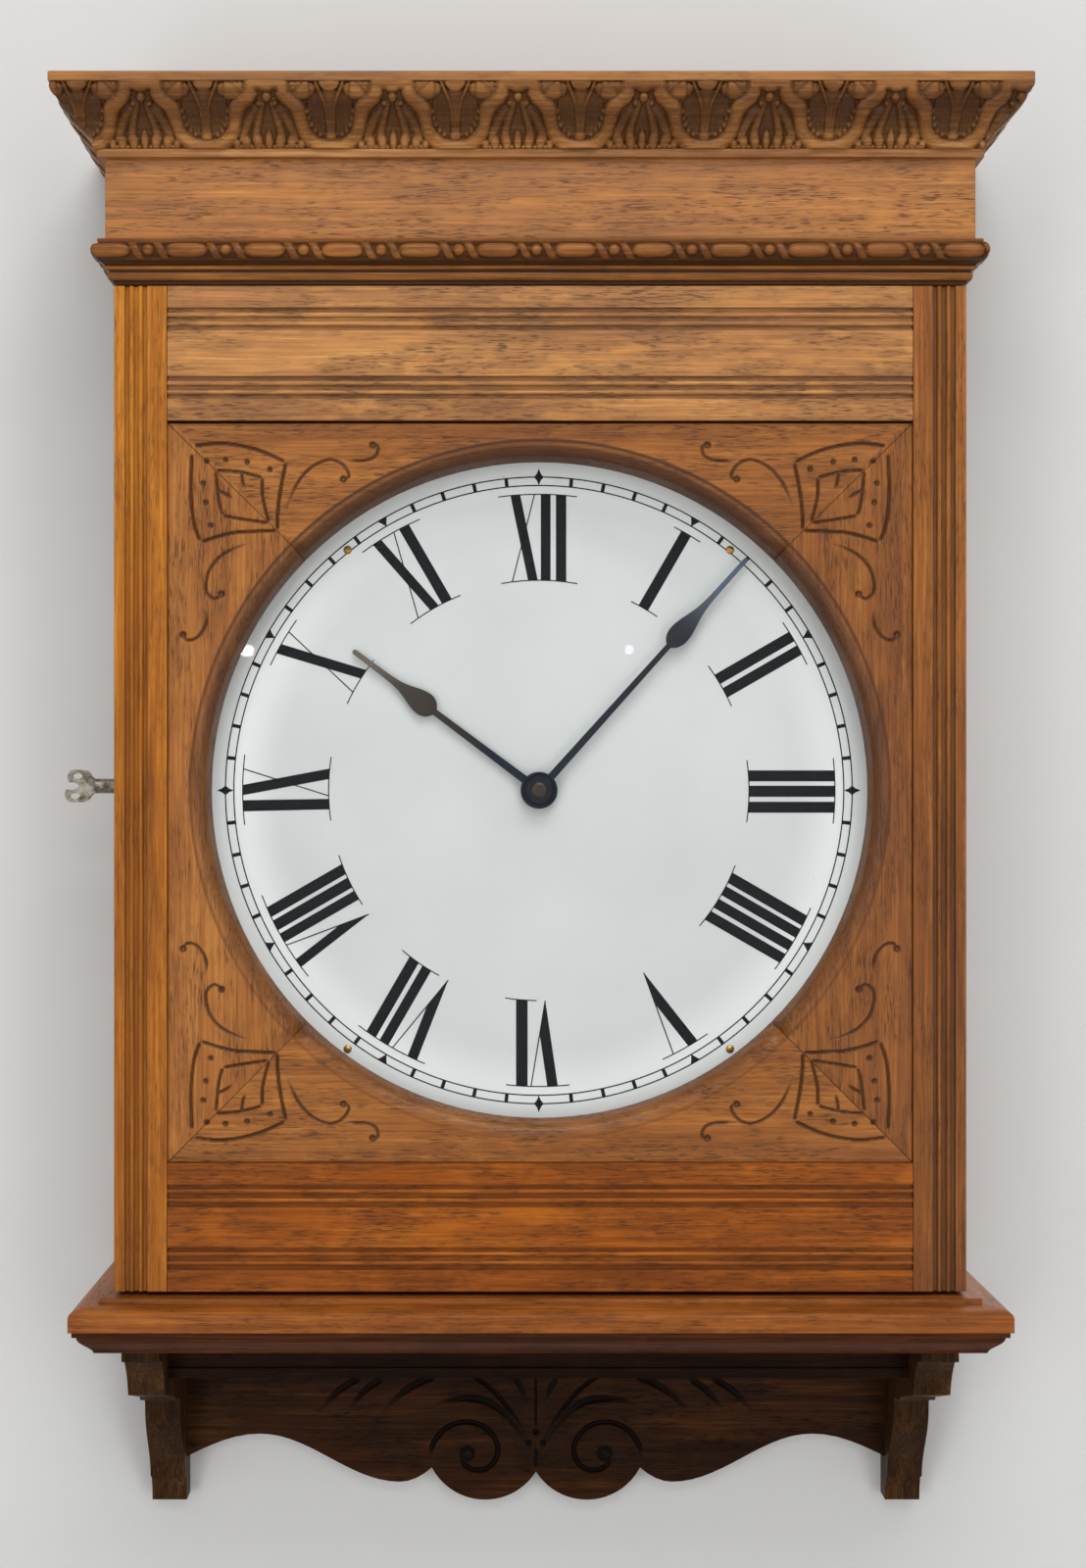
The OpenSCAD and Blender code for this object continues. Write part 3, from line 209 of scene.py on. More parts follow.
def new_group(kind, name, inputs, outputs):
    """A group of nodes with its named sockets and their kinds, and the sockets that give its inputs."""
    tree = bpy.data.node_groups.new(name, kind + "NodeTree")
    for way, sockets in (("INPUT", inputs), ("OUTPUT", outputs)):
        for label, socket in sockets.items():
            tree.interface.new_socket(label, in_out=way, socket_type="NodeSocket" + socket)
    return tree, add(tree, "NodeGroupInput").outputs


def new_material(name):
    """An empty material, its tree, and the socket that gives the place of a point in metres."""
    material = bpy.data.materials.new(name)
    material.use_nodes = True
    tree = material.node_tree
    tree.nodes.clear()
    return material, tree, add(tree, "ShaderNodeTexCoord").outputs["Object"]


def finished(material, shader):
    """Gives a material its finished shader."""
    add(material.node_tree, "ShaderNodeOutputMaterial", {"Surface": shader})
    return material


def figure_group():
    """Oak as the eye reads it, from a point whose X runs along the grain: long streaks, open
    pores as short dark dashes, and bright rays that cross the grain where the board is quartered."""
    tree, given = new_group("Shader", "oak_figure", {"Grain": "Vector", "Shift": "Float"},
                            dict.fromkeys(("Streak", "Broad", "Pores", "Ray", "Dusty"), "Float"))

    def drawn_out(point, along, across, detail, roughness=0.5):
        """A pattern that repeats so many times in a millimetre along the grain and across it."""
        point = add(tree, "ShaderNodeVectorMath", {0: point, 1: (along, across, across)},
                    operation="MULTIPLY")
        return add(tree, "ShaderNodeTexNoise", {"Vector": point, "Scale": 1.0, "Detail": detail,
                                                "Roughness": roughness})

    place = add(tree, "ShaderNodeVectorMath", {0: given["Grain"], 1: (1000, 1000, 1000)},
                operation="MULTIPLY")
    away = add(tree, "ShaderNodeVectorMath", {0: (73.1, 41.7, 19.3), "Scale": given["Shift"]},
               operation="SCALE")
    place = add(tree, "ShaderNodeVectorMath", {0: place, 1: away}, operation="ADD")
    # The grain wanders up to 5 mm over a hand's length
    wander = drawn_out(place, 0.008, 0.02, 2.0)
    drift = add(tree, "ShaderNodeVectorMath", {0: wander.outputs["Color"], 1: (0.0, 5.0, 5.0)},
                operation="MULTIPLY")
    place = add(tree, "ShaderNodeVectorMath", {0: place, 1: drift}, operation="ADD")
    # Streaks 2 mm wide and 90 mm long, in bands about 30 mm wide
    streak = drawn_out(place, 0.011, 0.5, 4.0, 0.6)
    broad = drawn_out(place, 0.004, 0.035, 3.0)
    # Pores a millimetre wide and 10 long, a little coarser than real ones so that they show
    pores = add(tree, "ShaderNodeMapRange", {"Value": drawn_out(place, 0.095, 1.1, 1.0), "From Min": 0.54,
                                             "From Max": 0.64}, interpolation_type="SMOOTHSTEP")
    dense = add(tree, "ShaderNodeMapRange", {"Value": drawn_out(place, 0.018, 0.06, 2.0), "From Min": 0.36,
                                             "From Max": 0.56, "To Min": 0.15})
    # Rays as soft flames up to 28 mm long and 11 mm tall
    flecks = drawn_out(place, 0.035, 0.09, 3.0, 0.55)
    ray = add(tree, "ShaderNodeMapRange", {"Value": flecks, "From Min": 0.5, "From Max": 0.72},
              interpolation_type="SMOOTHSTEP")
    clear = add(tree, "ShaderNodeMath", {0: 1.0, 1: ray}, operation="SUBTRACT")
    pores = add(tree, "ShaderNodeMath", {0: pores, 1: dense}, operation="MULTIPLY")
    pores = add(tree, "ShaderNodeMath", {0: pores, 1: clear}, operation="MULTIPLY")
    dusty = add(tree, "ShaderNodeMath", {0: dense, 1: clear}, operation="MULTIPLY")
    add(tree, "NodeGroupOutput", {"Streak": streak, "Broad": broad, "Pores": pores, "Ray": ray,
                                  "Dusty": dusty})
    return tree


FIGURE = figure_group()


def along_grain(tree, x, y, z, along):
    """The point turned so that its X runs along the grain, which turns where boards are mitred."""
    level = add(tree, "ShaderNodeCombineXYZ", {0: x, 1: y, 2: z})
    upright = add(tree, "ShaderNodeCombineXYZ", {0: z, 1: x, 2: y})
    if along in "XZ":
        return {"X": level, "Z": upright}[along]
    wide = add(tree, "ShaderNodeMath", {0: x}, operation="ABSOLUTE")
    if along == "wrap":
        reach = add(tree, "ShaderNodeMath", {0: wide, 1: y}, operation="ADD")
        beyond = add(tree, "ShaderNodeMath", {0: reach, 1: (HALF_W + FACE_Y) * MM}, operation="GREATER_THAN")
        other = add(tree, "ShaderNodeCombineXYZ", {0: y, 1: x, 2: z})
    else:
        tall = add(tree, "ShaderNodeMath", {0: z}, operation="ABSOLUTE")
        beyond = add(tree, "ShaderNodeMath", {0: wide, 1: tall}, operation="GREATER_THAN")
        other = upright
    return add(tree, "ShaderNodeMix", {0: beyond, 4: level, 5: other}, data_type="VECTOR").outputs[1]


# The round opening's edge, painted with shade: the radii in metres between which it is shaded, and the shades
# across it
RIM_INNER, RIM_OUTER = 0.229, 0.249
RIM_SHADES = ((0.0, 0.95), (0.48, 0.9), (0.54, 0.45), (0.62, 0.45), (0.65, 1.0), (0.72, 0.9), (0.76, 0.0))


def rim_painted_shade(tree, x, z):
    """How dark the steps of the round opening's edge are painted, as shade."""
    reach = add(tree, "ShaderNodeCombineXYZ", {0: x, 1: z})
    reach = add(tree, "ShaderNodeVectorMath", {0: reach}, operation="LENGTH")
    across = add(tree, "ShaderNodeMapRange", {"Value": reach.outputs["Value"], "From Min": RIM_INNER,
                                              "From Max": RIM_OUTER})
    shade = add(tree, "ShaderNodeValToRGB", {"Fac": across},
                [(place, (grey, grey, grey, 1.0)) for place, grey in RIM_SHADES])
    # Painted shade: the upper half of the opening, which faces down, is darker than the lower
    height = add(tree, "ShaderNodeMapRange", {"Value": z, "From Min": -0.24, "From Max": 0.2, "To Min": 0.3,
                                              "To Max": 0.9})
    return add(tree, "ShaderNodeMath", {0: shade, 1: height}, operation="MULTIPLY")


def oak(name, wood, pore, ray, along="X", shift=0.0, pores=0.7, rays=0.4, gloss=0.42, coat=0.12, sheen=0.25,
        dust=0.25, groove_dirt_and_shade=None, hollow=None, rim=False, dark="#3f2410", lean=0.0, downward_shade=0.0):
    """Varnished oak. wood names its tones. along is the grain's direction, or "wrap" for a moulding
    that turns round the sides, or "mitre" for boards mitred at 45 degrees. grime is the two Y planes
    in mm between which grooves darken, as old varnish and painted shade, and how much. hollow is the
    two depths, as shares of the deepest, between which a piece with a hollow attribute darkens, as old
    varnish and painted shade, and how much. rim paints shade on the edge of the round opening. dark is
    the colour that all of these darken to. lean is how much darker the boards get per metre to the
    right, as their own tone, and fall is how much painted shade darkens them per metre downwards."""
    material, tree, place = new_material(name)
    x, y, z = add(tree, "ShaderNodeSeparateXYZ", {0: place}).outputs
    grain = along_grain(tree, x, y, z, along)
    figure = add(tree, "ShaderNodeGroup", {"Grain": grain, "Shift": shift}, node_tree=FIGURE).outputs
    tone = add(tree, "ShaderNodeMath", {0: figure["Streak"], 1: 0.55}, operation="MULTIPLY")
    tone = add(tree, "ShaderNodeMath", {0: figure["Broad"], 1: 0.45, 2: tone}, operation="MULTIPLY_ADD")
    tone = add(tree, "ShaderNodeMapRange", {"Value": tone, "From Min": 0.33, "From Max": 0.67}, clamp=False)
    # Darker to the right by lean, as the boards' own tone; darker downwards by fall, as painted shade under
    # the light from above
    for way, amount in ((x, -lean), (z, downward_shade)):
        if amount:
            tone = add(tree, "ShaderNodeMath", {0: way, 1: amount, 2: tone}, operation="MULTIPLY_ADD")
    colour = add(tree, "ShaderNodeValToRGB", {"Fac": tone}, list(zip((0.0, 0.4, 0.7, 1.0), WOODS[wood])))
    grey = add(tree, "ShaderNodeMath", {0: figure["Dusty"], 1: dust}, operation="MULTIPLY")
    shine = add(tree, "ShaderNodeMath", {0: figure["Ray"], 1: rays}, operation="MULTIPLY")
    open_pores = add(tree, "ShaderNodeMath", {0: figure["Pores"], 1: pores}, operation="MULTIPLY")
    dirt_and_shade = None
    # Grooves darken towards their floors, as old varnish and painted shade
    if groove_dirt_and_shade:
        dirt_and_shade = add(tree, "ShaderNodeMapRange", {"Value": y, "From Min": groove_dirt_and_shade[0] * MM,
                                                "From Max": groove_dirt_and_shade[1] * MM, "To Max": groove_dirt_and_shade[2]})
    # Carved hollows darken by their depth, as old varnish and painted shade
    if hollow:
        dirt_and_shade = add(tree, "ShaderNodeAttribute", attribute_name="hollow")
        dirt_and_shade = add(tree, "ShaderNodeMapRange", {"Value": dirt_and_shade.outputs["Fac"], "From Min": hollow[0],
                                                "From Max": hollow[1], "To Max": hollow[2]})
    # The round opening's edge is painted with shade
    if rim:
        dirt_and_shade = add(tree, "ShaderNodeMath", {0: dirt_and_shade, 1: rim_painted_shade(tree, x, z)}, operation="MAXIMUM")
    for amount, over in ((grey, pore), (shine, ray), (open_pores, pore), (dirt_and_shade, dark)):
        if amount:
            colour = add(tree, "ShaderNodeMix", {0: amount, 6: colour, 7: linear(over)},
                         data_type="RGBA").outputs[2]
    dull = add(tree, "ShaderNodeMath", {0: open_pores, 1: 0.25, 2: gloss}, operation="MULTIPLY_ADD")
    relief = add(tree, "ShaderNodeMath", {0: figure["Streak"], 1: 0.35}, operation="MULTIPLY")
    relief = add(tree, "ShaderNodeMath", {0: relief, 1: open_pores}, operation="SUBTRACT")
    soft = add(tree, "ShaderNodeBevel", {"Radius": 0.0007}, samples=3)
    bump = add(tree, "ShaderNodeBump", {"Height": relief, "Strength": 0.35, "Distance": 0.0004,
                                        "Normal": soft})
    return finished(material, add(tree, "ShaderNodeBsdfPrincipled", {
        "Base Color": colour, "Roughness": dull, "Normal": bump, "Coat Weight": coat, "Coat Roughness": 0.16,
        "Specular IOR Level": sheen}))


def metal(name, colour, worn, rough, grit, patch, bump=0.1, metallic=1.0):
    """A metal with a fine grit, and patches where its finish has dulled or worn. rough is its
    roughness where it is bright and where it is dull. grit and patch are how many fit in a metre."""
    material, tree, place = new_material(name)
    fine = add(tree, "ShaderNodeTexNoise", {"Vector": place, "Scale": grit, "Detail": 3.0})
    wide = add(tree, "ShaderNodeTexNoise", {"Vector": place, "Scale": patch, "Detail": 4.0, "Roughness": 0.6})
    amount = add(tree, "ShaderNodeMapRange", {"Value": wide, "From Min": 0.38, "From Max": 0.66})
    tint = add(tree, "ShaderNodeMix", {0: amount, 6: linear(colour), 7: linear(worn)}, data_type="RGBA")
    mixed = add(tree, "ShaderNodeMath", {0: fine, 1: 0.35, 2: amount}, operation="MULTIPLY_ADD")
    dull = add(tree, "ShaderNodeMapRange", {"Value": mixed, "From Min": 0.0, "From Max": 1.3,
                                            "To Min": rough[0], "To Max": rough[1]})
    height = add(tree, "ShaderNodeBump", {"Height": fine, "Strength": bump, "Distance": 0.0002})
    return finished(material, add(tree, "ShaderNodeBsdfPrincipled", {
        "Base Color": tint.outputs[2], "Roughness": dull, "Normal": height, "Metallic": metallic}))


# Finishes

# Tones of each board from dark to light
WOODS = {
    "rail": ("#875831", "#ab723d", "#c28648", "#dca15e"),
    "low_rail": ("#6c3407", "#8f490b", "#a55811", "#ba6c1c"),
    "left_stile": ("#77420e", "#9c5a17", "#b16c1e", "#ca8329"),
    "right_stile": ("#633715", "#824b1c", "#975b25", "#ad6e31"),
    "side": ("#66391a", "#824b21", "#955a2b", "#a86d3b"),
    "frieze": ("#7b4a21", "#9f652d", "#b57433", "#cd8d46"),
    "top": ("#6f4318", "#8e591f", "#9f6726", "#b77c33"),
    "base": ("#6a3814", "#8c4d1a", "#a25d22", "#ba712f"),
    "field": ("#6f3e19", "#8e5421", "#a26429", "#b87837"),
    "carved": ("#694022", "#8e5b2f", "#aa733d", "#c79055"),
    "bead": ("#583117", "#79481e", "#945b28", "#af7339"),
    # The next four are painted nearly black, as the shade under the base
    "base_moulding": ("#2e1403", "#431e06", "#57290a", "#70370f"),
    "bracket": ("#221509", "#35200e", "#482e17", "#614323"),
    "under_rail": ("#130601", "#1e0c02", "#2a1303", "#3a1d05"),
    "apron": ("#1d0f03", "#2d1808", "#3d210b", "#563516"),
    "ring": ("#54301a", "#744522", "#8e5a2d", "#a7713d"),
    "pine": ("#9c7446", "#b98f5c", "#c9a26e", "#d6b382"),
}

# Quartered white oak under old varnish: soft golden rays, dark open pores, a soft sheen, and grooves darkened
# as old varnish and painted shade
rail_oak = oak("rail_oak_quartered", "rail", "#5d3d21", "#c2893f", "X", 1.0, 0.85, 0.25, dust=0.4,
               groove_dirt_and_shade=(-168.3, -167.5, 0.42))
low_rail_oak = oak("low_rail_oak_quartered", "low_rail", "#4c2b12", "#a9682c", "X", 2.0, 0.75, 0.12,
                   dust=0.35, groove_dirt_and_shade=(-168.3, -167.5, 0.35), sheen=0.12, coat=0.08)
# The stiles also get painted shade that deepens downwards
left_stile_oak = oak("left_stile_oak", "left_stile", "#5f3a1b", "#b87a36", "Z", 3.0, 0.55, 0.1, dust=0.15,
                     groove_dirt_and_shade=(-168.5, -167.6, 0.35), dark="#54300f", downward_shade=0.6, sheen=0.12, coat=0.08)
right_stile_oak = oak("right_stile_oak", "right_stile", "#44290f", "#9a6430", "Z", 3.5, 0.55, 0.1,
                      dust=0.15, groove_dirt_and_shade=(-168.6, -167.6, 0.6), dark="#3f250f", downward_shade=0.5, sheen=0.15)
side_oak = oak("side_oak", "side", "#4c2f18", "#b0753a", "Z", 4.0, 0.7, 0.15)
head_oak = oak("head_oak", "side", "#4c2f18", "#b0753a", "X", 5.0, 0.7, 0.15)
frieze_oak = oak("frieze_oak_streaked", "frieze", "#5f3a1b", "#b98442", "wrap", 6.0, 0.95, 0.08)
top_oak = oak("top_board_oak", "top", "#5f3a1b", "#b98442", "wrap", 7.0, 0.6, 0.1)
base_oak = oak("base_board_oak", "base", "#482810", "#a46a33", "wrap", 8.0, 0.6, 0.12, sheen=0.12, coat=0.08)
# The mitred boards: gouges darkened as old varnish and painted shade, painted shade on the opening's edge,
# and darker to the right as their own tone
field_oak = oak("field_oak_gouged", "field", "#482a12", "#a8702f", "mitre", 9.0, 0.75, 0.12, sheen=0.2,
                coat=0.1, hollow=(0.04, 0.75, 0.88), rim=True, dark="#3a2214", lean=0.5)
# The same oak with its carved hollows darkened by depth, as old dark varnish and painted shade, its high
# parts rubbed bright
carved_oak = oak("carved_oak_dark_in_hollows", "carved", "#4a2c16", "#96683e", "wrap", 10.0, 0.3, 0.1,
                 gloss=0.3, sheen=0.08, hollow=(0.02, 1.0, 0.76), dark="#2c1a0e")
bead_oak = oak("bead_oak_dark_in_hollows", "bead", "#4a2c16", "#96683e", "wrap", 11.0, 0.3, 0.1,
               gloss=0.3, sheen=0.08, hollow=(0.05, 1.1, 0.9), dark="#281508")
# Below the base the oak is painted nearly black, as the shade that lies there, and the varnish has gone dull
base_moulding_oak = oak("base_moulding_oak_dark", "base_moulding", "#1a0f08", "#5f3f25", "wrap", 12.0,
                        0.5, 0.1, coat=0.0, sheen=0.1)
bracket_oak = oak("bracket_oak_dark", "bracket", "#120a05", "#4a301c", "Z", 13.0, 0.5, 0.1, coat=0.0,
                  sheen=0.06)
rail_below_oak = oak("under_rail_oak_dark", "under_rail", "#100905", "#3f2918", "X", 14.0, 0.6, 0.1,
                     coat=0.0, sheen=0.06)
apron_oak = oak("apron_oak_gouged_dark", "apron", "#0f0804", "#4a301c", "X", 15.0, 0.8, 0.1, coat=0.0,
                sheen=0.06, hollow=(0.03, 0.5, 0.9), dark="#080402")
# The ring behind the glass, out of the light and less varnished
ring_oak = oak("glass_ring_oak", "ring", "#3d2414", "#96683e", "X", 16.0, 0.5, 0.1)
# Unvarnished pine inside: pale, soft, with brown streaks of dust
pine = oak("pine_board_raw", "pine", "#8a6238", "#d9b988", "Z", 17.0, 0.25, 0.1, gloss=0.62, coat=0.0)

# Lacquered brass gone brown in patches
brass = metal("brass_lacquered_aged", "#b8924a", "#8a6a35", (0.22, 0.42), 700.0, 55.0)
# Cut and polished steel
steel = metal("steel_polished", "#a9adb1", "#8d9094", (0.2, 0.36), 900.0, 80.0)
# Zinc plate with its faint spangle
zinc = metal("steel_zinc_plated", "#a3a6a8", "#8b8e90", (0.35, 0.5), 400.0, 140.0)
# Worn nickel over brass, grey with warm edges
nickel = metal("nickel_worn", "#8b857b", "#524b41", (0.32, 0.6), 500.0, 160.0, 0.25)
# Brass gone dark brown under finger marks
bronze = metal("brass_tarnished_brown", "#2f2018", "#1a120d", (0.35, 0.55), 700.0, 160.0, 0.2, 0.5)


def from_middle(tree, place):
    """How far a point lies from the axis of the hands, in metres."""
    flat = add(tree, "ShaderNodeVectorMath", {0: place, 1: (1.0, 0.0, 1.0)}, operation="MULTIPLY")
    return add(tree, "ShaderNodeVectorMath", {0: flat}, operation="LENGTH").outputs["Value"]


def blued_steel(name, stops):
    """Heat blued steel: navy round the middle of the dial and rubbed grey towards the tip. stops are
    its colours at distances from the middle, in metres."""
    material, tree, place = new_material(name)
    rub = add(tree, "ShaderNodeTexNoise", {"Vector": place, "Scale": 60.0, "Detail": 5.0, "Roughness": 0.6})
    reach = from_middle(tree, place)
    amount = add(tree, "ShaderNodeMath", {0: rub, 1: 0.03, 2: reach}, operation="MULTIPLY_ADD")
    tone = add(tree, "ShaderNodeValToRGB", {"Fac": amount}, stops)
    grit = add(tree, "ShaderNodeTexNoise", {"Vector": place, "Scale": 700.0, "Detail": 3.0})
    bump = add(tree, "ShaderNodeBump", {"Height": grit, "Strength": 0.12, "Distance": 0.0002})
    dull = add(tree, "ShaderNodeMapRange", {"Value": rub, "To Min": 0.3, "To Max": 0.55})
    return finished(material, add(tree, "ShaderNodeBsdfPrincipled", {
        "Base Color": tone, "Roughness": dull, "Normal": bump, "Metallic": 0.3, "Specular IOR Level": 0.1}))


def japan():
    """Cast iron under black japan: glossy with a slow ripple."""
    material, tree, place = new_material("iron_black_japanned")
    ripple = add(tree, "ShaderNodeTexNoise", {"Vector": place, "Scale": 260.0, "Detail": 3.0})
    tone = add(tree, "ShaderNodeValToRGB", {"Fac": ripple}, ((0.3, "#17171a"), (0.7, "#26262a")))
    bump = add(tree, "ShaderNodeBump", {"Height": ripple, "Strength": 0.3, "Distance": 0.0004})
    dull = add(tree, "ShaderNodeMapRange", {"Value": ripple, "To Min": 0.25, "To Max": 0.45})
    return finished(material, add(tree, "ShaderNodeBsdfPrincipled", {
        "Base Color": tone, "Roughness": dull, "Normal": bump, "Coat Weight": 0.6, "Coat Roughness": 0.15}))


def dial_enamel():
    """Zinc sheet under matt white paint: cool white, faintly clouded, with a few brown specks, and
    painted light near its edge that lifts the shade of the deep opening."""
    material, tree, place = new_material("dial_paint_matt_white")
    cloud = add(tree, "ShaderNodeTexNoise", {"Vector": place, "Scale": 9.0, "Detail": 4.0})
    tone = add(tree, "ShaderNodeValToRGB", {"Fac": cloud}, ((0.3, "#c5c8c8"), (0.7, "#ced1d1")))
    reach = from_middle(tree, place)
    # Painted light: the paint brightens towards the edge, against the shade that the opening casts there
    edge = add(tree, "ShaderNodeMapRange", {"Value": reach, "From Min": 0.18, "From Max": 0.226,
                                            "To Max": 0.9}, interpolation_type="SMOOTHSTEP")
    tone = add(tree, "ShaderNodeMix", {0: edge, 6: tone, 7: linear("#eff2f2")}, data_type="RGBA").outputs[2]
    # Specks some 30 mm apart and about 1 mm across
    speck = add(tree, "ShaderNodeTexVoronoi", {"Vector": place, "Scale": 34.0, "Randomness": 1.0})
    dot = add(tree, "ShaderNodeMapRange", {"Value": speck.outputs["Distance"], "From Min": 0.012,
                                           "From Max": 0.022, "To Min": 0.35, "To Max": 0.0})
    tone = add(tree, "ShaderNodeMix", {0: dot, 6: tone, 7: linear("#8b7a66")}, data_type="RGBA").outputs[2]
    grain = add(tree, "ShaderNodeTexNoise", {"Vector": place, "Scale": 1500.0, "Detail": 2.0})
    bump = add(tree, "ShaderNodeBump", {"Height": grain, "Strength": 0.05, "Distance": 0.0001})
    dull = add(tree, "ShaderNodeMapRange", {"Value": cloud, "To Min": 0.5, "To Max": 0.62})
    return finished(material, add(tree, "ShaderNodeBsdfPrincipled", {
        "Base Color": tone, "Roughness": dull, "Normal": bump, "Specular IOR Level": 0.3}))


def print_ink():
    """Black printing ink on the dial, a little thin in places."""
    material, tree, place = new_material("dial_ink_black")
    thin = add(tree, "ShaderNodeTexNoise", {"Vector": place, "Scale": 320.0, "Detail": 5.0})
    tone = add(tree, "ShaderNodeValToRGB", {"Fac": thin}, ((0.35, "#0f1014"), (0.75, "#1a1c22")))
    dull = add(tree, "ShaderNodeMapRange", {"Value": thin, "To Min": 0.7, "To Max": 0.9})
    return finished(material, add(tree, "ShaderNodeBsdfPrincipled", {
        "Base Color": tone, "Roughness": dull, "Specular IOR Level": 0.05}))


def window_glass():
    """Clear drawn sheet glass. Light passes it unshaded, so that the dial behind stays bright, and a low
    index keeps the pale room's reflection off the black print."""
    material, tree, place = new_material("glass_drawn_sheet")
    wave = add(tree, "ShaderNodeTexNoise", {"Vector": place, "Scale": 14.0, "Detail": 1.0})
    bump = add(tree, "ShaderNodeBump", {"Height": wave, "Strength": 0.04, "Distance": 0.001})
    shader = add(tree, "ShaderNodeBsdfPrincipled", {
        "Base Color": linear("#fdfffe"), "Roughness": 0.0, "Normal": bump, "Transmission Weight": 1.0,
        "IOR": 1.2})
    path = add(tree, "ShaderNodeLightPath").outputs
    unshaded = add(tree, "ShaderNodeMath", {0: path["Is Shadow Ray"], 1: path["Is Diffuse Ray"]},
                   operation="MAXIMUM")
    clear = add(tree, "ShaderNodeBsdfTransparent")
    return finished(material, add(tree, "ShaderNodeMixShader", {0: unshaded, 1: shader, 2: clear}))


def wound_wire():
    """Shellacked cotton-covered wire in level turns, drawn 1.8 mm apart so that they show."""
    material, tree, place = new_material("coil_wire_cotton_covered")
    turns = add(tree, "ShaderNodeTexWave", {"Vector": place, "Scale": 175.0, "Distortion": 0.4,
                                            "Detail": 1.0}, bands_direction="Z").outputs["Fac"]
    tone = add(tree, "ShaderNodeValToRGB", {"Fac": turns},
               ((0.0, "#2e0f0a"), (0.6, "#6b2a18"), (1.0, "#8a3b22")))
    bump = add(tree, "ShaderNodeBump", {"Height": turns, "Strength": 0.8, "Distance": 0.0004})
    return finished(material, add(tree, "ShaderNodeBsdfPrincipled", {
        "Base Color": tone, "Roughness": 0.45, "Normal": bump}))


def braid():
    """Braided cotton over a wire: a dull red with a crossing weave 1 mm apart."""
    material, tree, place = new_material("lead_cotton_braid")
    weave = add(tree, "ShaderNodeTexVoronoi", {"Vector": place, "Scale": 1000.0}).outputs["Distance"]
    tone = add(tree, "ShaderNodeValToRGB", {"Fac": weave}, ((0.0, "#7a2b22"), (0.8, "#3d120f")))
    bump = add(tree, "ShaderNodeBump", {"Height": weave, "Strength": 0.5, "Distance": 0.0003})
    return finished(material, add(tree, "ShaderNodeBsdfPrincipled", {
        "Base Color": tone, "Roughness": 0.85, "Normal": bump, "Sheen Weight": 0.3}))


def waxed_card():
    """Waxed card sleeve of a dry cell: slate blue, rubbed paler on high fibres."""
    material, tree, place = new_material("cell_card_waxed")
    fibre = add(tree, "ShaderNodeMapping", {"Vector": place, "Scale": (1.0, 1.0, 0.15)})
    rub = add(tree, "ShaderNodeTexNoise", {"Vector": fibre, "Scale": 420.0, "Detail": 5.0})
    tone = add(tree, "ShaderNodeValToRGB", {"Fac": rub},
               ((0.3, "#23262f"), (0.6, "#30343f"), (0.8, "#454a55")))
    bump = add(tree, "ShaderNodeBump", {"Height": rub, "Strength": 0.2, "Distance": 0.0003})
    return finished(material, add(tree, "ShaderNodeBsdfPrincipled", {
        "Base Color": tone, "Roughness": 0.55, "Normal": bump, "Coat Weight": 0.2, "Coat Roughness": 0.4}))


iron = japan()
hour_steel = blued_steel("steel_blued_hour_hand", (
    (0.06, "#151b27"), (0.09, "#2a2623"), (0.13, "#38322d"), (0.17, "#5e574f")))
minute_steel = blued_steel("steel_blued_minute_hand", (
    (0.07, "#191f2a"), (0.14, "#202127"), (0.175, "#292a31"), (0.205, "#4d5965")))
dial_paint = dial_enamel()
ink = print_ink()
glass = window_glass()
coil_wire = wound_wire()
lead = braid()
card = waxed_card()

FINISHES = {
    pine: ("back_board", "dial_rails"),
    side_oak: ("left_side", "right_side"),
    head_oak: ("head_rail",),
    top_oak: ("crown_top",),
    frieze_oak: ("frieze",),
    base_oak: ("base_board",),
    base_moulding_oak: ("base_moulding",),
    bracket_oak: ("brackets",),
    rail_below_oak: ("under_rail",),
    left_stile_oak: ("left_stile",),
    right_stile_oak: ("right_stile",),
    rail_oak: ("top_rail",),
    low_rail_oak: ("bottom_rail",),
    ring_oak: ("glass_stop",),
    carved_oak: ("crown_moulding",),
    bead_oak: ("bead_moulding",),
    field_oak: ("spandrel_frame",),
    apron_oak: ("apron",),
    dial_paint: ("dial_pan",),
    glass: ("glass",),
    brass: ("dial_screws", "back_plate", "front_plate", "plate_pillars", "winding_wheel", "centre_wheel",
            "minute_wheel", "hour_wheel", "third_wheel", "fourth_wheel", "escape_wheel", "suspension_block",
            "pendulum_bob", "rating_nut", "cell_terminals", "door_hinge_leaves", "case_hinge_leaves",
            "hinge_pins"),
    bronze: ("hand_nut",),
    steel: ("motor_rotor", "centre_arbor", "cannon_pinion", "pallets", "pendulum_rod", "strike_plate",
            "latch_spindle", "latch_cam"),
    zinc: ("hanger_plate", "battery_straps"),
    iron: ("movement_seat", "motor_frame"),
    coil_wire: ("motor_coils",),
    card: ("dry_cells",),
    lead: ("battery_leads",),
    nickel: ("escutcheon", "key"),
    minute_steel: ("minute_hand",),
    hour_steel: ("hour_hand",),
}
for material, names in FINISHES.items():
    for name in names:
        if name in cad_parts:
            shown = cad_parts[name].data
            shown.materials.clear()
            shown.materials.append(material)


# Carved runs of moulding: one tile is carved as a field of heights, repeated along the front by
# Geometry Nodes, cut at the mitres, and mirrored across them for the two sides.

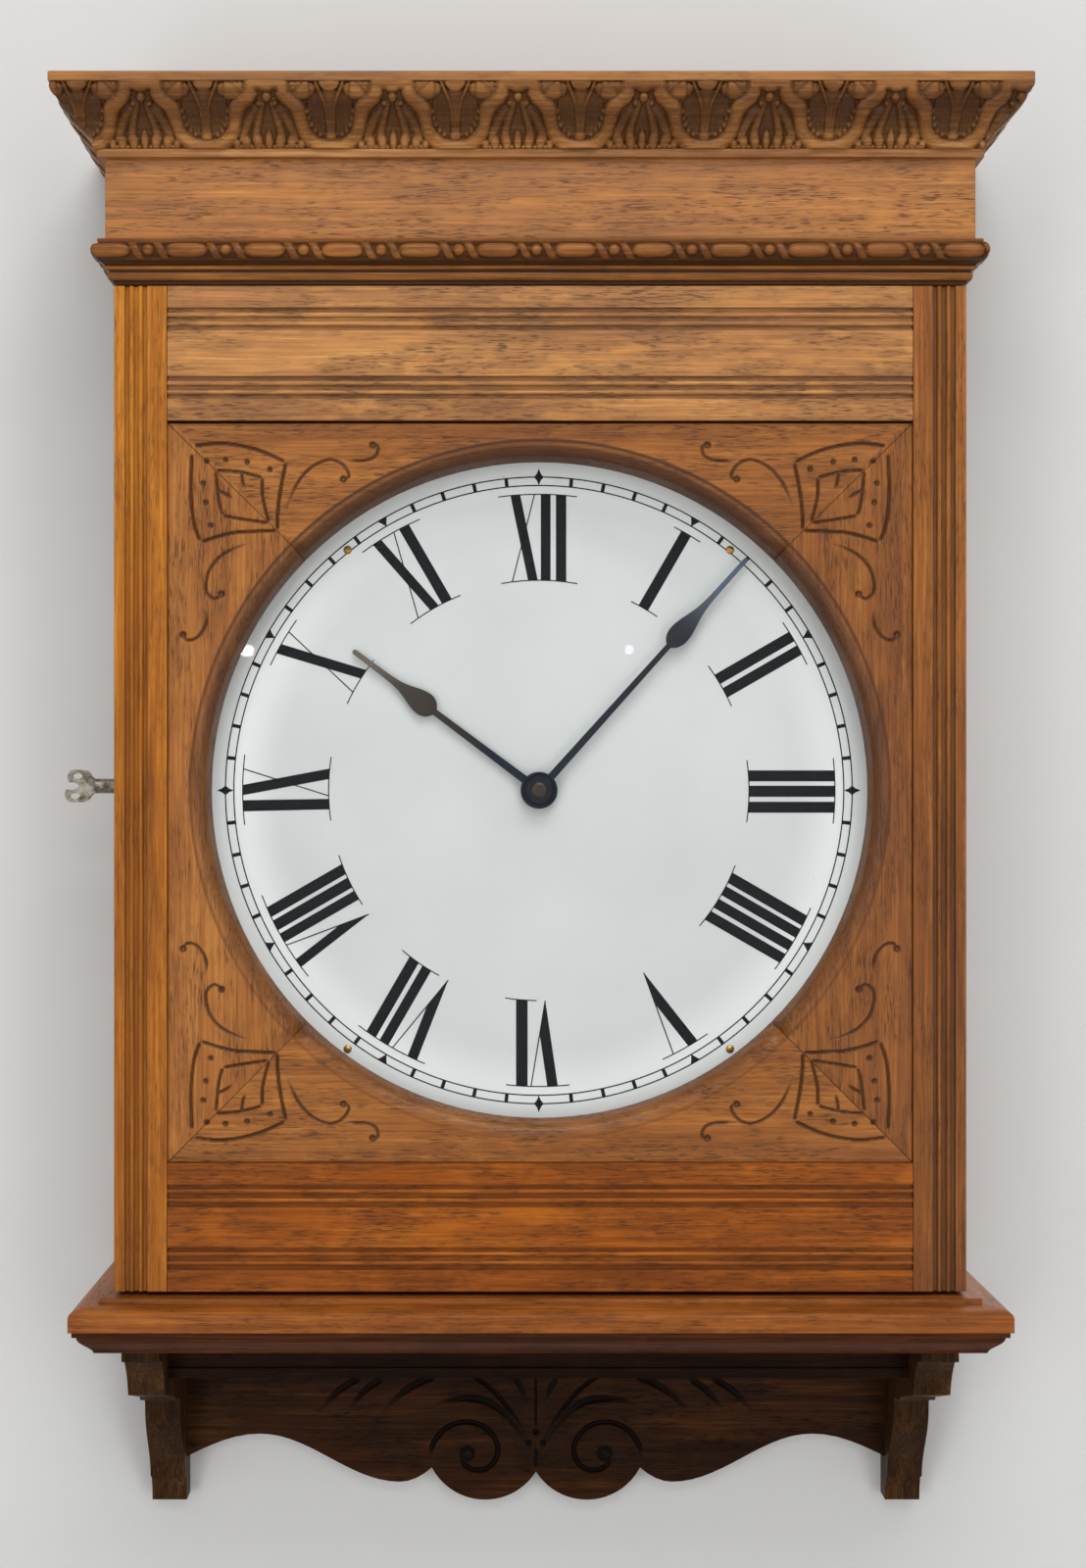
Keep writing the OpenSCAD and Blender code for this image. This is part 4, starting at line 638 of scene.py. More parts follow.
def run_tree():
    """Sets a tile end to end along X. Pitch, Start and Weld are in metres."""
    tree, given = new_group("Geometry", "moulding_run", {
        "Tile": "Geometry", "Pitch": "Float", "Start": "Float", "Count": "Int", "Weld": "Float",
        "Finish": "Material"}, {"Run": "Geometry"})
    first = add(tree, "ShaderNodeCombineXYZ", {0: given["Start"]})
    step = add(tree, "ShaderNodeCombineXYZ", {0: given["Pitch"]})
    line = add(tree, "GeometryNodeMeshLine", {"Count": given["Count"], "Start Location": first,
                                              "Offset": step}, mode="OFFSET")
    placed = add(tree, "GeometryNodeInstanceOnPoints", {"Points": line, "Instance": given["Tile"]})
    real = add(tree, "GeometryNodeRealizeInstances", {"Geometry": placed})
    joined = add(tree, "GeometryNodeMergeByDistance", {"Geometry": real, "Distance": given["Weld"]})
    run = add(tree, "GeometryNodeSetMaterial", {"Geometry": joined, "Material": given["Finish"]})
    add(tree, "NodeGroupOutput", {"Run": run})
    return tree


RUN = run_tree()


def carved_tile(name, pitch, profile, normals, carve, columns):
    """One pitch of a moulding. profile is reach and height in mm from the foot upwards, normals are
    its outward directions, and carve(s, row) gives the depth in mm and the darkness along the tile."""
    rows, width = len(profile), columns + 1
    s = np.linspace(0, pitch, width)
    points, hollow = [], []
    for row, ((reach, height), normal) in enumerate(zip(profile, normals)):
        for place, depth, dark in zip(s, *carve(s, row)):
            points.append((place, -(reach - depth * normal[0]) + FACE_Y, height - depth * normal[1]))
            hollow.append(dark)
    for height in (profile[-1][1], profile[0][1]):
        points += [(place, FACE_Y, height) for place in s]
        hollow += [0.0] * width
    loops = rows + 2
    faces = []
    for row in range(loops):
        low, high = row * width, (row + 1) % loops * width
        faces += [(low + i, low + i + 1, high + i + 1, high + i) for i in range(columns)]
    mesh = bpy.data.meshes.new(name)
    mesh.from_pydata([tuple(p) for p in np.array(points) * MM], [], faces)
    keep = mesh.attributes.new("hollow", "FLOAT", "POINT")
    keep.data.foreach_set("value", np.array(hollow, np.float32))
    return new_object(name, mesh)


def halved(mesh, point, normal):
    """Cuts a mesh on a plane, drops what lies on the normal's side, and closes the cut."""
    work = bmesh.new()
    work.from_mesh(mesh)
    geometry = work.verts[:] + work.edges[:] + work.faces[:]
    cut = bmesh.ops.bisect_plane(work, geom=geometry, plane_co=Vector(point) * MM, plane_no=Vector(normal),
                                 clear_outer=True, dist=1e-6)
    edges = [e for e in cut["geom_cut"] if isinstance(e, bmesh.types.BMEdge)]
    bmesh.ops.edgeloop_fill(work, edges=edges)
    work.to_mesh(mesh)
    work.free()


def reflected(mesh, name, side):
    """The run's mirror image across the mitre at the left (-1) or right (1) front corner."""
    copy = mesh.copy()
    copy.name = name
    corner = Vector((side * HALF_W, FACE_Y, 0)) * MM
    swap = Matrix(((0, -side, 0, 0), (-side, 0, 0, 0), (0, 0, 1, 0), (0, 0, 0, 1)))
    copy.transform(Matrix.Translation(corner) @ swap @ Matrix.Translation(-corner))
    copy.flip_normals()
    return copy


def run_round(tile, pitch, start, count, material, name, node):
    """Lays a tile along the front and both sides with mitred corners, in place of a CAD node."""
    front = grown(tile, RUN, name + "_front", Pitch=pitch * MM, Start=start * MM, Count=count, Weld=1e-5,
                  Finish=material)
    whole = front.data.copy()
    for side in (-1, 1):
        halved(front.data, (side * HALF_W, FACE_Y, 0), (side, 1, 0))
    for side, word in ((-1, "left"), (1, "right")):
        mesh = reflected(whole, name + "_" + word, side)
        halved(mesh, (side * HALF_W, FACE_Y, 0), (-side, -1, 0))
        halved(mesh, (0, 0, 0), (0, 1, 0))
        outwards(mesh)
        dressed(new_object(name + "_" + word, smooth(mesh, 50)), material, "case", "carved_oak")
    outwards(front.data)
    smooth(front.data, 50)
    dressed(front, material, "case", "carved_oak", node)


def segment_distance(px, py, line):
    """Distance of points from a polyline, and how far along it the nearest place is, from 0 to 1."""
    best = np.full(px.shape, 1e9)
    where = np.zeros(px.shape)
    a = np.asarray(line[:-1], float)
    b = np.asarray(line[1:], float)
    lengths = np.hypot(*(b - a).T)
    before = np.concatenate(([0], np.cumsum(lengths)))
    for i in range(len(a)):
        d = b[i] - a[i]
        t = np.clip(((px - a[i, 0]) * d[0] + (py - a[i, 1]) * d[1]) / max(lengths[i] ** 2, 1e-12), 0, 1)
        far = np.hypot(px - a[i, 0] - t * d[0], py - a[i, 1] - t * d[1])
        near = far < best
        best = np.where(near, far, best)
        where = np.where(near, (before[i] + t * lengths[i]) / before[-1], where)
    return best, where


def curve_through(points, per=8):
    """A smooth line through points."""
    p = np.asarray(points, float)
    if len(p) < 3:
        return p
    p = np.vstack((2 * p[0] - p[1], p, 2 * p[-1] - p[-2]))
    made = []
    for i in range(1, len(p) - 2):
        t = np.linspace(0, 1, per, endpoint=False)[:, None]
        made.append(0.5 * (2 * p[i] + (p[i + 1] - p[i - 1]) * t
                           + (2 * p[i - 1] - 5 * p[i] + 4 * p[i + 1] - p[i + 2]) * t ** 2
                           + (3 * p[i] - p[i - 1] - 3 * p[i + 1] + p[i + 2]) * t ** 3))
    return np.vstack(made + [p[-2][None]])


def dome(distance, radius, height, power=0.5):
    """A rounded lump: height at its middle, nothing at its radius."""
    return height * np.clip(1 - (distance / radius) ** 2, 0, 1) ** power


def inside(px, py, outline):
    """Which points lie in a closed outline."""
    found = np.zeros(px.shape, bool)
    for (ax, ay), (bx, by) in zip(outline, np.roll(outline, -1, axis=0)):
        if ay != by:
            found ^= ((ay > py) != (by > py)) & (px < (bx - ax) * (py - ay) / (by - ay) + ax)
    return found


# The crown's leaf pattern. s runs along it and h is the height above its foot, both in mm. A pitch holds
# a U-shaped strap round a tulip between two curled leaves, and a palmette with a button under a notch.
CROWN_PITCH = 85.4
CROWN_DEEP = 4.2
CROWN_DRAWN = 40.0
CUP = curve_through([(0.0, 4.2), (6.0, 4.7), (11.4, 7.4), (14.8, 11.6), (16.2, 16.8), (16.6, 21.5),
                     (18.4, 25.4), (23.4, 28.6), (27.2, 32.6), (27.8, 37.6), (26.8, 42.0)], 6)
CUP = np.vstack((CUP, [(0.0, 42.0)]))
TENT = curve_through([(31.0, -1.0), (25.6, 2.2), (20.6, 7.4), (18.2, 14.6), (15.4, 20.6), (9.4, 25.4)], 6)
TENT = np.vstack((TENT, [(6.4, 30.2), (6.8, 33.8), (4.6, 33.8), (3.2, 32.4), (0.0, 32.0), (0.0, -1.0)]))
RIDGE = curve_through([(2.0, 6.0), (2.2, 14.0), (3.0, 22.5), (5.0, 28.0), (7.4, 33.6), (9.6, 40.5)], 6)
PALM_LEAF = curve_through([(3.2, 23.6), (5.4, 17.4), (7.8, 11.0), (9.0, 5.4)], 6)
OUTER_LEAF = curve_through([(8.4, 20.4), (12.6, 15.8), (15.8, 10.4), (18.8, 5.0)], 6)
# Leaf tips inside the strap: place and radius. Fan at the foot: place, half width and half height.
STRAP_TIPS = ((7.6, 7.6, 1.6), (10.8, 9.6, 1.7), (13.2, 12.6, 1.6), (14.6, 16.2, 1.5), (15.0, 20.2, 1.4))
FOOT_TIPS = ((0.0, 4.6, 2.9, 5.6), (7.6, 4.0, 3.4, 4.8), (15.6, 3.6, 3.4, 4.2), (22.0, 2.2, 2.6, 2.8))
# Dots between the tips of the fan
GAP_DOTS = (3.9, 11.8, 19.0)


def centred(s, pitch):
    """Where s lies from the middle of the pattern it falls in."""
    return (s + pitch / 2) % pitch - pitch / 2


def crown_relief(s, h):
    """Height in mm above the hollows, at s from the middle of a U."""
    a = np.abs(centred(s, CROWN_PITCH))
    b = CROWN_PITCH / 2 - a
    # The strap and the web above it, rounded over towards the two hollows
    in_cup, in_tent = inside(a, h, CUP), inside(b, h, TENT)
    edge = np.minimum(segment_distance(a, h, CUP[:-1])[0], segment_distance(b, h, TENT[:-1])[0])
    round_over = CROWN_DEEP - 1.7 * np.clip(1 - edge / 3.6, 0, 1) ** 2
    wall = 2.5 * np.clip(1 - edge / 1.3, 0, 1) ** 1.5
    forms = [np.where(in_cup | in_tent, wall, round_over)]
    # Tulip: two ridges that open upwards from a knob, a shell between them, and faint flutes
    flutes = 0.9 + 0.5 * np.cos(2 * math.pi * a / 5.2)
    forms.append(np.where(in_cup & (a < 15) & (h > 7) & (h < 30), flutes, 0))
    stem = np.interp(h, [6, 12, 24, 33], [2.2, 2.0, 2.8, 6.0])
    forms.append(np.where(in_cup & (h > 6) & (h < 33), 2.1 * np.clip(1 - (a / stem) ** 4, 0, 1), 0))
    away, along = segment_distance(a, h, RIDGE)
    forms.append(dome(away, 1.5, 3.2 * (0.75 + 0.25 * along), 0.6))
    forms.append(dome(np.hypot(a / 4.4, (h - 6.8) / 3.0), 1.0, 3.7))
    shell = np.hypot(a / 7.4, (h - 40.6) / 8.4)
    forms.append(np.where(shell < 1, 2.3 + dome(shell, 1.0, 1.5, 0.4), 0))
    # A broad leaf curls over at each side, with three grooves that fan from its root
    fan = np.arctan2(h - 44.0, a - 14.0)
    grooved = 1 - 0.3 * np.clip(np.cos(fan * 8.0 + 0.6), 0, 1) ** 3
    forms.append(dome(np.hypot((a - 18.4) / 9.3, (h - 34.0) / 7.4), 1.0, 4.1, 0.33) * grooved)
    forms.append(dome(np.hypot((a - 25.0) / 2.8, (h - 37.6) / 3.4), 1.0, 3.6, 0.45))
    # A row of leaf tips along the inside of the strap
    for x, z, radius in STRAP_TIPS:
        forms.append(dome(np.hypot(a - x, h - z), radius, 2.9))
    # Button with two ears, long leaves, and a fan of broad tips at the foot
    forms.append(dome(np.hypot(b, h - 28.6), 3.6, 3.9))
    forms.append(dome(np.hypot((b - 5.6) / 1.3, h - 24.6), 1.7, 3.2))
    away, along = segment_distance(b, h, PALM_LEAF)
    forms.append(dome(away, 2.3 + 0.9 * along, 2.2 + 0.7 * along, 0.5))
    away, along = segment_distance(b, h, OUTER_LEAF)
    forms.append(dome(away, 1.9 + 1.5 * np.sin(np.pi * along) ** 0.7, 1.9 + 0.8 * along, 0.5))
    for x, z, across, up in FOOT_TIPS:
        ribbed = 1 - 0.1 * np.clip(1 - np.abs(b - x) / 0.8, 0, 1)
        forms.append(dome(np.hypot((b - x) / across, (h - z) / up), 1.0, 3.8, 0.45) * ribbed)
    for x in GAP_DOTS:
        forms.append(dome(np.hypot(b - x, h - 0.9), 1.4, 2.8))
    return np.maximum.reduce(forms)


# The crown's section: a fillet, then the cyma in so many rows above it
FILLET_REACH, FILLET_TALL = 10.4, 5.5
CYMA_FOOT = 13
CYMA_ROWS = 62
# How dark the fillet is, and the painted shade on the cyma at heights above its foot
FILLET_DARK = 0.12
CYMA_SHADE = ([0, 4, 9, 14, 30, 40], [0.0, 0.05, 0.24, 0.36, 0.34, 0.24])


def crown_profile():
    """Fillet and cyma as reach and height, with their outward directions."""
    foot, rise = CROWN_Z + FILLET_TALL, TOP_Z - CROWN_Z - FILLET_TALL
    profile = [(FILLET_REACH, CROWN_Z), (FILLET_REACH, foot)]
    for i in range(CYMA_ROWS + 1):
        t = i / CYMA_ROWS
        swell = (1 - math.cos(math.pi * t ** 0.92)) / 2
        profile.append((CYMA_FOOT + (CROWN_REACH - CYMA_FOOT) * swell, foot + rise * t))
    normals = [(1, 0), (1, 0)]
    for i in range(2, len(profile)):
        a = profile[max(i - 1, 2)]
        b = profile[min(i + 1, len(profile) - 1)]
        d = math.hypot(b[0] - a[0], b[1] - a[1])
        normals.append(((b[1] - a[1]) / d, -(b[0] - a[0]) / d))
    normals[2] = normals[-1] = (1, 0)
    return profile, normals


def carve_crown(s, row):
    """Depth below the crown's face, and how dark it is there."""
    if row < 2:
        return np.zeros(s.shape), np.full(s.shape, FILLET_DARK)
    h = (row - 2) / CYMA_ROWS * CROWN_DRAWN
    depth = CROWN_DEEP - np.clip(crown_relief(s, np.full(s.shape, h)), 0, CROWN_DEEP)
    # Darkness follows depth, as old varnish and painted shade, with painted shade added by height
    return depth, np.clip(depth / CROWN_DEEP + np.interp(h, *CYMA_SHADE), 0, 1)


# Where the middle of a strap lies near the left corner
CROWN_START = -314.6
tile = carved_tile("crown_tile", CROWN_PITCH, *crown_profile(), carve_crown, columns=120)
run_round(tile, CROWN_PITCH, CROWN_START - CROWN_PITCH, 9, carved_oak, "carved_crown", "crown_moulding")

# The bead and reel: s runs along it and w is the way round the half-round from its middle, in mm
BEAD_PITCH = 53.4
BEAD_DEEP = 2.8
BEAD_TALL = 18.4
# The half-round starts so many degrees below level and turns through so many, in so many rows
BEAD_FROM, BEAD_TURN = -72, 162
BEAD_ROWS = 42
# Plain rows under the half-round: reach, height above the foot, and how dark they are painted, as shade. They
# are a shadow gap, a band, a groove and a fillet.
PLAIN_ROWS = ((0.3, 0.0, 1.0), (0.3, 1.9, 1.0), (2.6, 2.0, 0.7), (3.4, 2.8, 0.1), (3.9, 4.8, 0.0),
              (3.6, 7.1, 0.1), (2.8, 7.5, 1.0), (2.8, 8.6, 1.0), (5.4, 9.2, 0.15), (5.9, 9.8, 0.0),
              (6.0, 11.1, 0.0), (5.4, 11.8, 1.0))


def bead_relief(s, w):
    """Height in mm above the grooves, at s from the middle of a long bead."""
    s = centred(s, BEAD_PITCH)
    long_bead = (np.abs(s) / 14.3) ** 4.2 + (np.abs(w + 0.2) / 6.6) ** 2.6
    b = BEAD_PITCH / 2 - np.abs(s)
    b = np.where(s > 0, -b, b)
    forms = [BEAD_DEEP * np.clip(1 - long_bead, 0, 1) ** 0.38,
             dome(np.hypot(b / 4.3, w / 5.4), 1.0, 2.7, 0.45)]
    for side in (-1, 1):
        slanted = b - side * 8.6 + 0.36 * w
        forms.append(dome(slanted, 3.3, 1.75, 0.35) * np.clip(1 - (np.abs(w) / 10.5) ** 6, 0, 1))
    forms.append(np.interp(w, [-9.6, -8.2, 8.4, 9.6], [1.2, 0, 0, 2.8]))
    return np.maximum.reduce(forms)


def bead_profile():
    """The plain rows and the half-round as reach and height, with their outward directions, and w for
    each row of the half-round."""
    low = FRIEZE_Z - BEAD_Z - BEAD_TALL
    r = (FRIEZE_Z - BEAD_Z - low) / 2
    mid = BEAD_Z + low + r
    back = BEAD_REACH - r
    profile = [(reach, BEAD_Z + rise) for reach, rise, dark in PLAIN_ROWS]
    normals = [(1, 0)] * len(profile)
    ways = []
    for i in range(BEAD_ROWS + 1):
        angle = math.radians(BEAD_FROM + BEAD_TURN * i / BEAD_ROWS)
        profile.append((back + r * math.cos(angle), mid + r * math.sin(angle)))
        normals.append((math.cos(angle), math.sin(angle)))
        ways.append(r * angle)
    return profile, normals, ways


profile, normals, ways = bead_profile()


def carve_bead(s, row):
    """Depth below the half-round, which eases out over its last three rows, and how dark it is there."""
    if row < len(PLAIN_ROWS):
        return np.zeros(s.shape), np.full(s.shape, PLAIN_ROWS[row][2])
    row -= len(PLAIN_ROWS)
    ease = min(1.0, (BEAD_ROWS - row) / 3)
    depth = BEAD_DEEP - bead_relief(s, np.full(s.shape, ways[row]))
    # Painted shade on the underside of the half-round, which faces down
    low = np.interp(ways[row], [-11, -8], [0.85, 0])
    return ease * depth, np.clip(ease * depth / BEAD_DEEP + low, 0, 1)


# Where the middle of a long bead lies near the left corner
BEAD_START = -243.1
tile = carved_tile("bead_tile", BEAD_PITCH, profile, normals, carve_bead, columns=84)
run_round(tile, BEAD_PITCH, BEAD_START - 2 * BEAD_PITCH, 13, bead_oak, "bead_and_reel", "bead_moulding")


# Gouged carving: strokes are pressed into a fine field of depths, and a cutter with that face is
# taken out of a copy of the CAD board.

# The grid of depths, how far the cutter stands in front of its board, and the share of a gouge's
# width and depth that is left at its tapered ends
GOUGE_STEP = 0.75
CUTTER_THICK = 6
CUTTER_CLEAR = 0.03
NARROWEST = 0.35
SHALLOWEST = 0.12


def pressed_in(xs, zs, strokes):
    """Depths in mm over a grid. A stroke is a line in mm, its width, its depth, and over what share of
    it each end tapers; a line of one point is a dot."""
    depth = np.zeros((len(zs), len(xs)))
    for line, width, deep, taper in strokes:
        line = np.asarray(line, float)
        lo, hi = line.min(0) - width, line.max(0) + width
        i0, i1 = np.searchsorted(xs, (lo[0], hi[0]))
        j0, j1 = np.searchsorted(zs, (lo[1], hi[1]))
        i0, j0 = max(i0, 1), max(j0, 1)
        i1, j1 = min(i1, len(xs) - 1), min(j1, len(zs) - 1)
        if i1 <= i0 or j1 <= j0:
            continue
        gx, gz = np.meshgrid(xs[i0:i1], zs[j0:j1])
        if len(line) == 1:
            away, along = np.hypot(gx - line[0, 0], gz - line[0, 1]), np.full(gx.shape, 0.5)
        else:
            away, along = segment_distance(gx, gz, line)
        share = np.ones(gx.shape)
        for reach, end in zip((along, 1 - along), taper):
            if end > 0:
                share = np.minimum(share, np.clip(reach / end, SHALLOWEST, 1))
        half = width / 2 * (NARROWEST + (1 - NARROWEST) * share)
        pressed = deep * share * np.clip(1 - (away / half) ** 2, 0, 1) ** 0.75
        depth[j0:j1, i0:i1] = np.maximum(depth[j0:j1, i0:i1], pressed)
    return depth


def cutter(name, x_span, z_span, face_y, strokes):
    """A block in front of a board whose back presses the strokes into it."""
    xs, zs = (np.linspace(low, high, int((high - low) / GOUGE_STEP) + 1) for low, high in (x_span, z_span))
    nx, nz = len(xs), len(zs)
    back = np.empty((nz, nx, 3))
    back[..., 0] = xs[None, :]
    back[..., 1] = face_y - CUTTER_CLEAR + pressed_in(xs, zs, strokes)
    back[..., 2] = zs[:, None]
    front_y = face_y - CUTTER_THICK
    front = [(x, front_y, z) for x, z in ((xs[0], zs[0]), (xs[-1], zs[0]), (xs[-1], zs[-1]), (xs[0], zs[-1]))]
    points = np.vstack((back.reshape(-1, 3), front))
    at = np.arange(nx * nz).reshape(nz, nx)
    faces = np.stack((at[:-1, :-1], at[:-1, 1:], at[1:, 1:], at[1:, :-1]), -1).reshape(-1, 4).tolist()
    a, b, c, d = (nx * nz + i for i in range(4))
    faces += [[a, d, c, b], at[0, ::-1].tolist() + [a, b], at[-1].tolist() + [c, d],
              at[:, 0].tolist() + [d, a], at[::-1, -1].tolist() + [b, c]]
    return new_object(name, outwards(mesh_from(name, points, faces)))


def vectors(items, key):
    """A vector of each of a mesh's vertices or faces, as rows of three."""
    values = np.empty(len(items) * 3)
    items.foreach_get(key, values)
    return values.reshape(-1, 3)


def carved_copy(node, name, cutters, face_y, deepest, keep_in):
    """A copy of a CAD board with the cutters taken out and the depth of each carved point kept, as a
    share of the deepest. keep_in(x, z) says which points may be carved ones."""
    board = worked_copy(node, name + "_blank")
    for tool in cutters:
        modifier = board.modifiers.new("gouge", "BOOLEAN")
        modifier.operation = "DIFFERENCE"
        modifier.solver = "MANIFOLD"
        modifier.object = tool
    board = plain(board, name)
    for tool in cutters:
        bpy.data.objects.remove(tool)
    mesh = board.data
    x, y, z = vectors(mesh.vertices, "co").T / MM
    # The depth darkens the gouges in the finish, as old varnish and painted shade
    deep = np.where(keep_in(x, z), (y - face_y) / deepest, 0)
    hollow = mesh.attributes.new("hollow", "FLOAT", "POINT")
    hollow.data.foreach_set("value", np.clip(np.where(deep < 1.2, deep, 0), 0, 1).astype(np.float32))
    smooth(mesh, 32)
    # The uncut face keeps its flat shading, so that its large faces don't catch the gouges' shading
    facing = vectors(mesh.polygons, "normal")[:, 1]
    level = vectors(mesh.polygons, "center")[:, 1] / MM
    flat = (facing < -0.9999) & (np.abs(level - face_y) < 0.01)
    mesh.polygons.foreach_set("use_smooth", ~flat)
    return board


# The opening's edge, the spans that the top left cutter covers, and those that carved points may lie
# in, from the middle of the dial, in mm. The middle of the mitred boards lies a little lower.
OPENING_EDGE = 243.6
CORNER_X = (-256, -104)
CORNER_Z = (98, 254)
CARVED_X = (100, 257)
CARVED_Z = (98, 256)
FIELD_DROP = 1.25
FIELD_DEEPEST = 1.6


def field_point(px, py):
    """A pixel of the photograph on the face of the mitred boards, in mm."""
    return ((px - AXIS_PIXEL[0]) * FIELD_PIXEL + CAMERA[0], (AXIS_PIXEL[1] - py) * FIELD_PIXEL + CAMERA[2])


# Pixels of the photograph: the outer kite's sides, the inner kite's, the veins in it, the dots
# between them, and the tendrils with the dot that each curls round
OUTER_KITE = (
    ((200, 455), (222, 452.4), (241, 453.4), (267, 459.5), (294.5, 471.5)),
    ((294.5, 471.5), (290, 493), (286.5, 517), (285.5, 541)),
    ((285.5, 541), (267, 542), (244, 543), (226, 547), (207, 553.2)),
    ((207, 553.2), (201, 536), (198, 513), (197.5, 489), (198.5, 462)))
INNER_KITE = (
    ((223, 479.5), (246.6, 481.3), (270.1, 487)), ((270.1, 487), (270.8, 507.7), (277, 533.4)),
    ((276, 533.4), (251, 529.8), (230, 526.1)), ((230, 526.1), (226.3, 513), (222.6, 481)))
VEINS = (((249.2, 481.5), (250.2, 491), (253.2, 501)), ((225.5, 500.5), (233, 504), (241, 509.5)))
KITE_DOTS = ((213.6, 470.3), (232.7, 468.9), (254.7, 471.2), (278.1, 478.6), (209.9, 492.8), (212.4, 512.4),
             (217.6, 535.8))
TENDRILS = (
    (((293.5, 526.1), (297.2, 512.1), (306.8, 491.6), (320, 476.9), (336.1, 469.3), (347.8, 471.1),
      (355.9, 478.4), (358.4, 486.0), (353, 489.0)), (353, 488.7)),
    (((350, 469.2), (361, 470.0), (377.2, 469.3), (386.2, 464.5), (388.2, 456.0), (383, 453.0)),
     (383, 454.0)),
    (((264.2, 554), (246.6, 557.6), (229, 566.4), (217.3, 579.6), (212.9, 594.3), (213.6, 604.6),
      (221.0, 610.8), (228.5, 607.0)), (228.5, 606)),
    (((209.9, 617.5), (213.4, 629.5), (210.7, 641.2), (202.6, 651), (193.8, 653), (189.4, 648)),
     (189.4, 647.5)))


def corner_strokes():
    """The carving of the top left corner: a kite in a kite with dots, and four tendrils."""
    def line(points):
        """A smooth line in mm through pixels of the photograph."""
        return curve_through([field_point(*p) for p in points])
    strokes = [(line(side), 2.7, 1.6, (0.04, 0.04)) for side in OUTER_KITE]
    strokes += [(line(side), 2.4, 1.5, (0.04, 0.04)) for side in INNER_KITE]
    strokes += [(line(vein), 2.4, 1.5, (0, 0.35)) for vein in VEINS]
    strokes += [([field_point(*dot)], 4.4, 1.8, (0, 0)) for dot in KITE_DOTS]
    for tendril, dot in TENDRILS:
        strokes.append((line(tendril), 2.4, 1.4, (0.3, 0)))
        strokes.append(([field_point(*dot)], 5.4, 2.0, (0, 0)))
    return strokes


def turned(strokes, flip_x, flip_z):
    """The same strokes for another corner."""
    sx, sz = (-1 if flip_x else 1), (-1 if flip_z else 1)
    shift = -2 * FIELD_DROP if flip_z else 0.0
    return [(np.asarray(line, float) * (sx, sz) + (0, shift), *rest) for line, *rest in strokes]


def other_side(span, middle):
    """A span of places mirrored about a middle."""
    return tuple(sorted(2 * middle - place for place in span))


def in_a_corner(x, z):
    """Which points lie where the corners are carved."""
    across, up = np.abs(x), np.abs(z + FIELD_DROP)
    return ((np.hypot(x, z) > OPENING_EDGE) & (across > CARVED_X[0]) & (across < CARVED_X[1])
            & (up > CARVED_Z[0]) & (up < CARVED_Z[1]))


corner = corner_strokes()
tools = []
for number, (flip_x, flip_z) in enumerate(((False, False), (True, False), (False, True), (True, True))):
    x_span = other_side(CORNER_X, 0) if flip_x else CORNER_X
    z_span = other_side(CORNER_Z, -FIELD_DROP) if flip_z else CORNER_Z
    tools.append(cutter(f"corner_tool_{number}", x_span, z_span, FIELD_Y, turned(corner, flip_x, flip_z)))
field = carved_copy("spandrel_frame", "gouged_field", tools, FIELD_Y, FIELD_DEEPEST, in_a_corner)
dressed(field, field_oak, "door", "oak", "spandrel_frame")

# The apron: its middle in pixels of the photograph, and the reach of its carving in mm
APRON_MIDDLE = 547.5
APRON_X = (-182, 182)
APRON_Z = (-517, -432)
APRON_DEEPEST = 1.9


def apron_point(px, py):
    """A pixel of the photograph on the apron's face, in mm from its middle."""
    return ((px - APRON_MIDDLE) * APRON_PIXEL, (AXIS_PIXEL[1] - py) * APRON_PIXEL + CAMERA[2])


# Gouges of the apron's left half in pixels of the photograph, each with its width and depth in mm and
# how much of it tapers at each end: the scroll and its eye, leaves towards the middle, leaves that
# spread to the left, and a dot
APRON_HALF = (
    (((440.5, 1488), (441.5, 1476), (450.7, 1461.6), (463, 1453.5), (476, 1451), (490, 1453.5), (501.5, 1462),
      (508.5, 1475), (506.5, 1489), (497, 1498.5), (484, 1499.8), (474.5, 1494), (470.7, 1486)),
     4.0, 1.9, (0.08, 0.05)),
    (((477.5, 1482.7),), 12.5, 2.4, (0, 0)),
    (((436.5, 1437.5), (455, 1429.5), (474, 1427.0), (492, 1428.5), (508, 1436), (521, 1449), (532, 1464),
      (541, 1480), (546, 1493)), 6.4, 1.9, (0.35, 0.6)),
    (((480, 1404), (491, 1408.5), (505, 1420), (517, 1434), (529, 1450), (537, 1464), (542.5, 1480)),
     3.4, 1.7, (0.1, 0.5)),
    (((524, 1403), (532, 1415), (537, 1427), (541, 1440)), 5.0, 1.5, (0.2, 0.7)),
    (((321, 1446), (332, 1433.5), (345, 1420), (358, 1411), (370, 1405)), 5.4, 1.6, (0.6, 0.1)),
    (((353, 1444), (363, 1430), (376, 1416), (392, 1406)), 5.4, 1.6, (0.6, 0.1)),
    (((387, 1447), (401, 1430), (417, 1417), (432, 1409), (447, 1404)), 6.0, 1.7, (0.6, 0.1)),
    (((539.8, 1472.0),), 5.0, 2.0, (0, 0)))
# Gouges on the apron's middle line
APRON_CENTRE = (
    (((547.5, 1400), (547.5, 1457)), 2.2, 1.4, (0, 0.1)),
    (((547.5, 1475), (547.5, 1494)), 2.6, 1.4, (0.3, 0)),
    (((547.5, 1461),), 5.0, 2.0, (0, 0)))


def apron_strokes():
    """Two scrolls, and leaves that rise from the middle behind the rail."""
    def line(points):
        """A smooth line in mm through pixels of the photograph."""
        return np.asarray(curve_through([apron_point(*p) for p in points]), float)
    strokes = [(line(points), *rest) for points, *rest in APRON_CENTRE]
    for points, *rest in APRON_HALF:
        strokes += [(line(points), *rest), (line(points) * (-1, 1), *rest)]
    return strokes


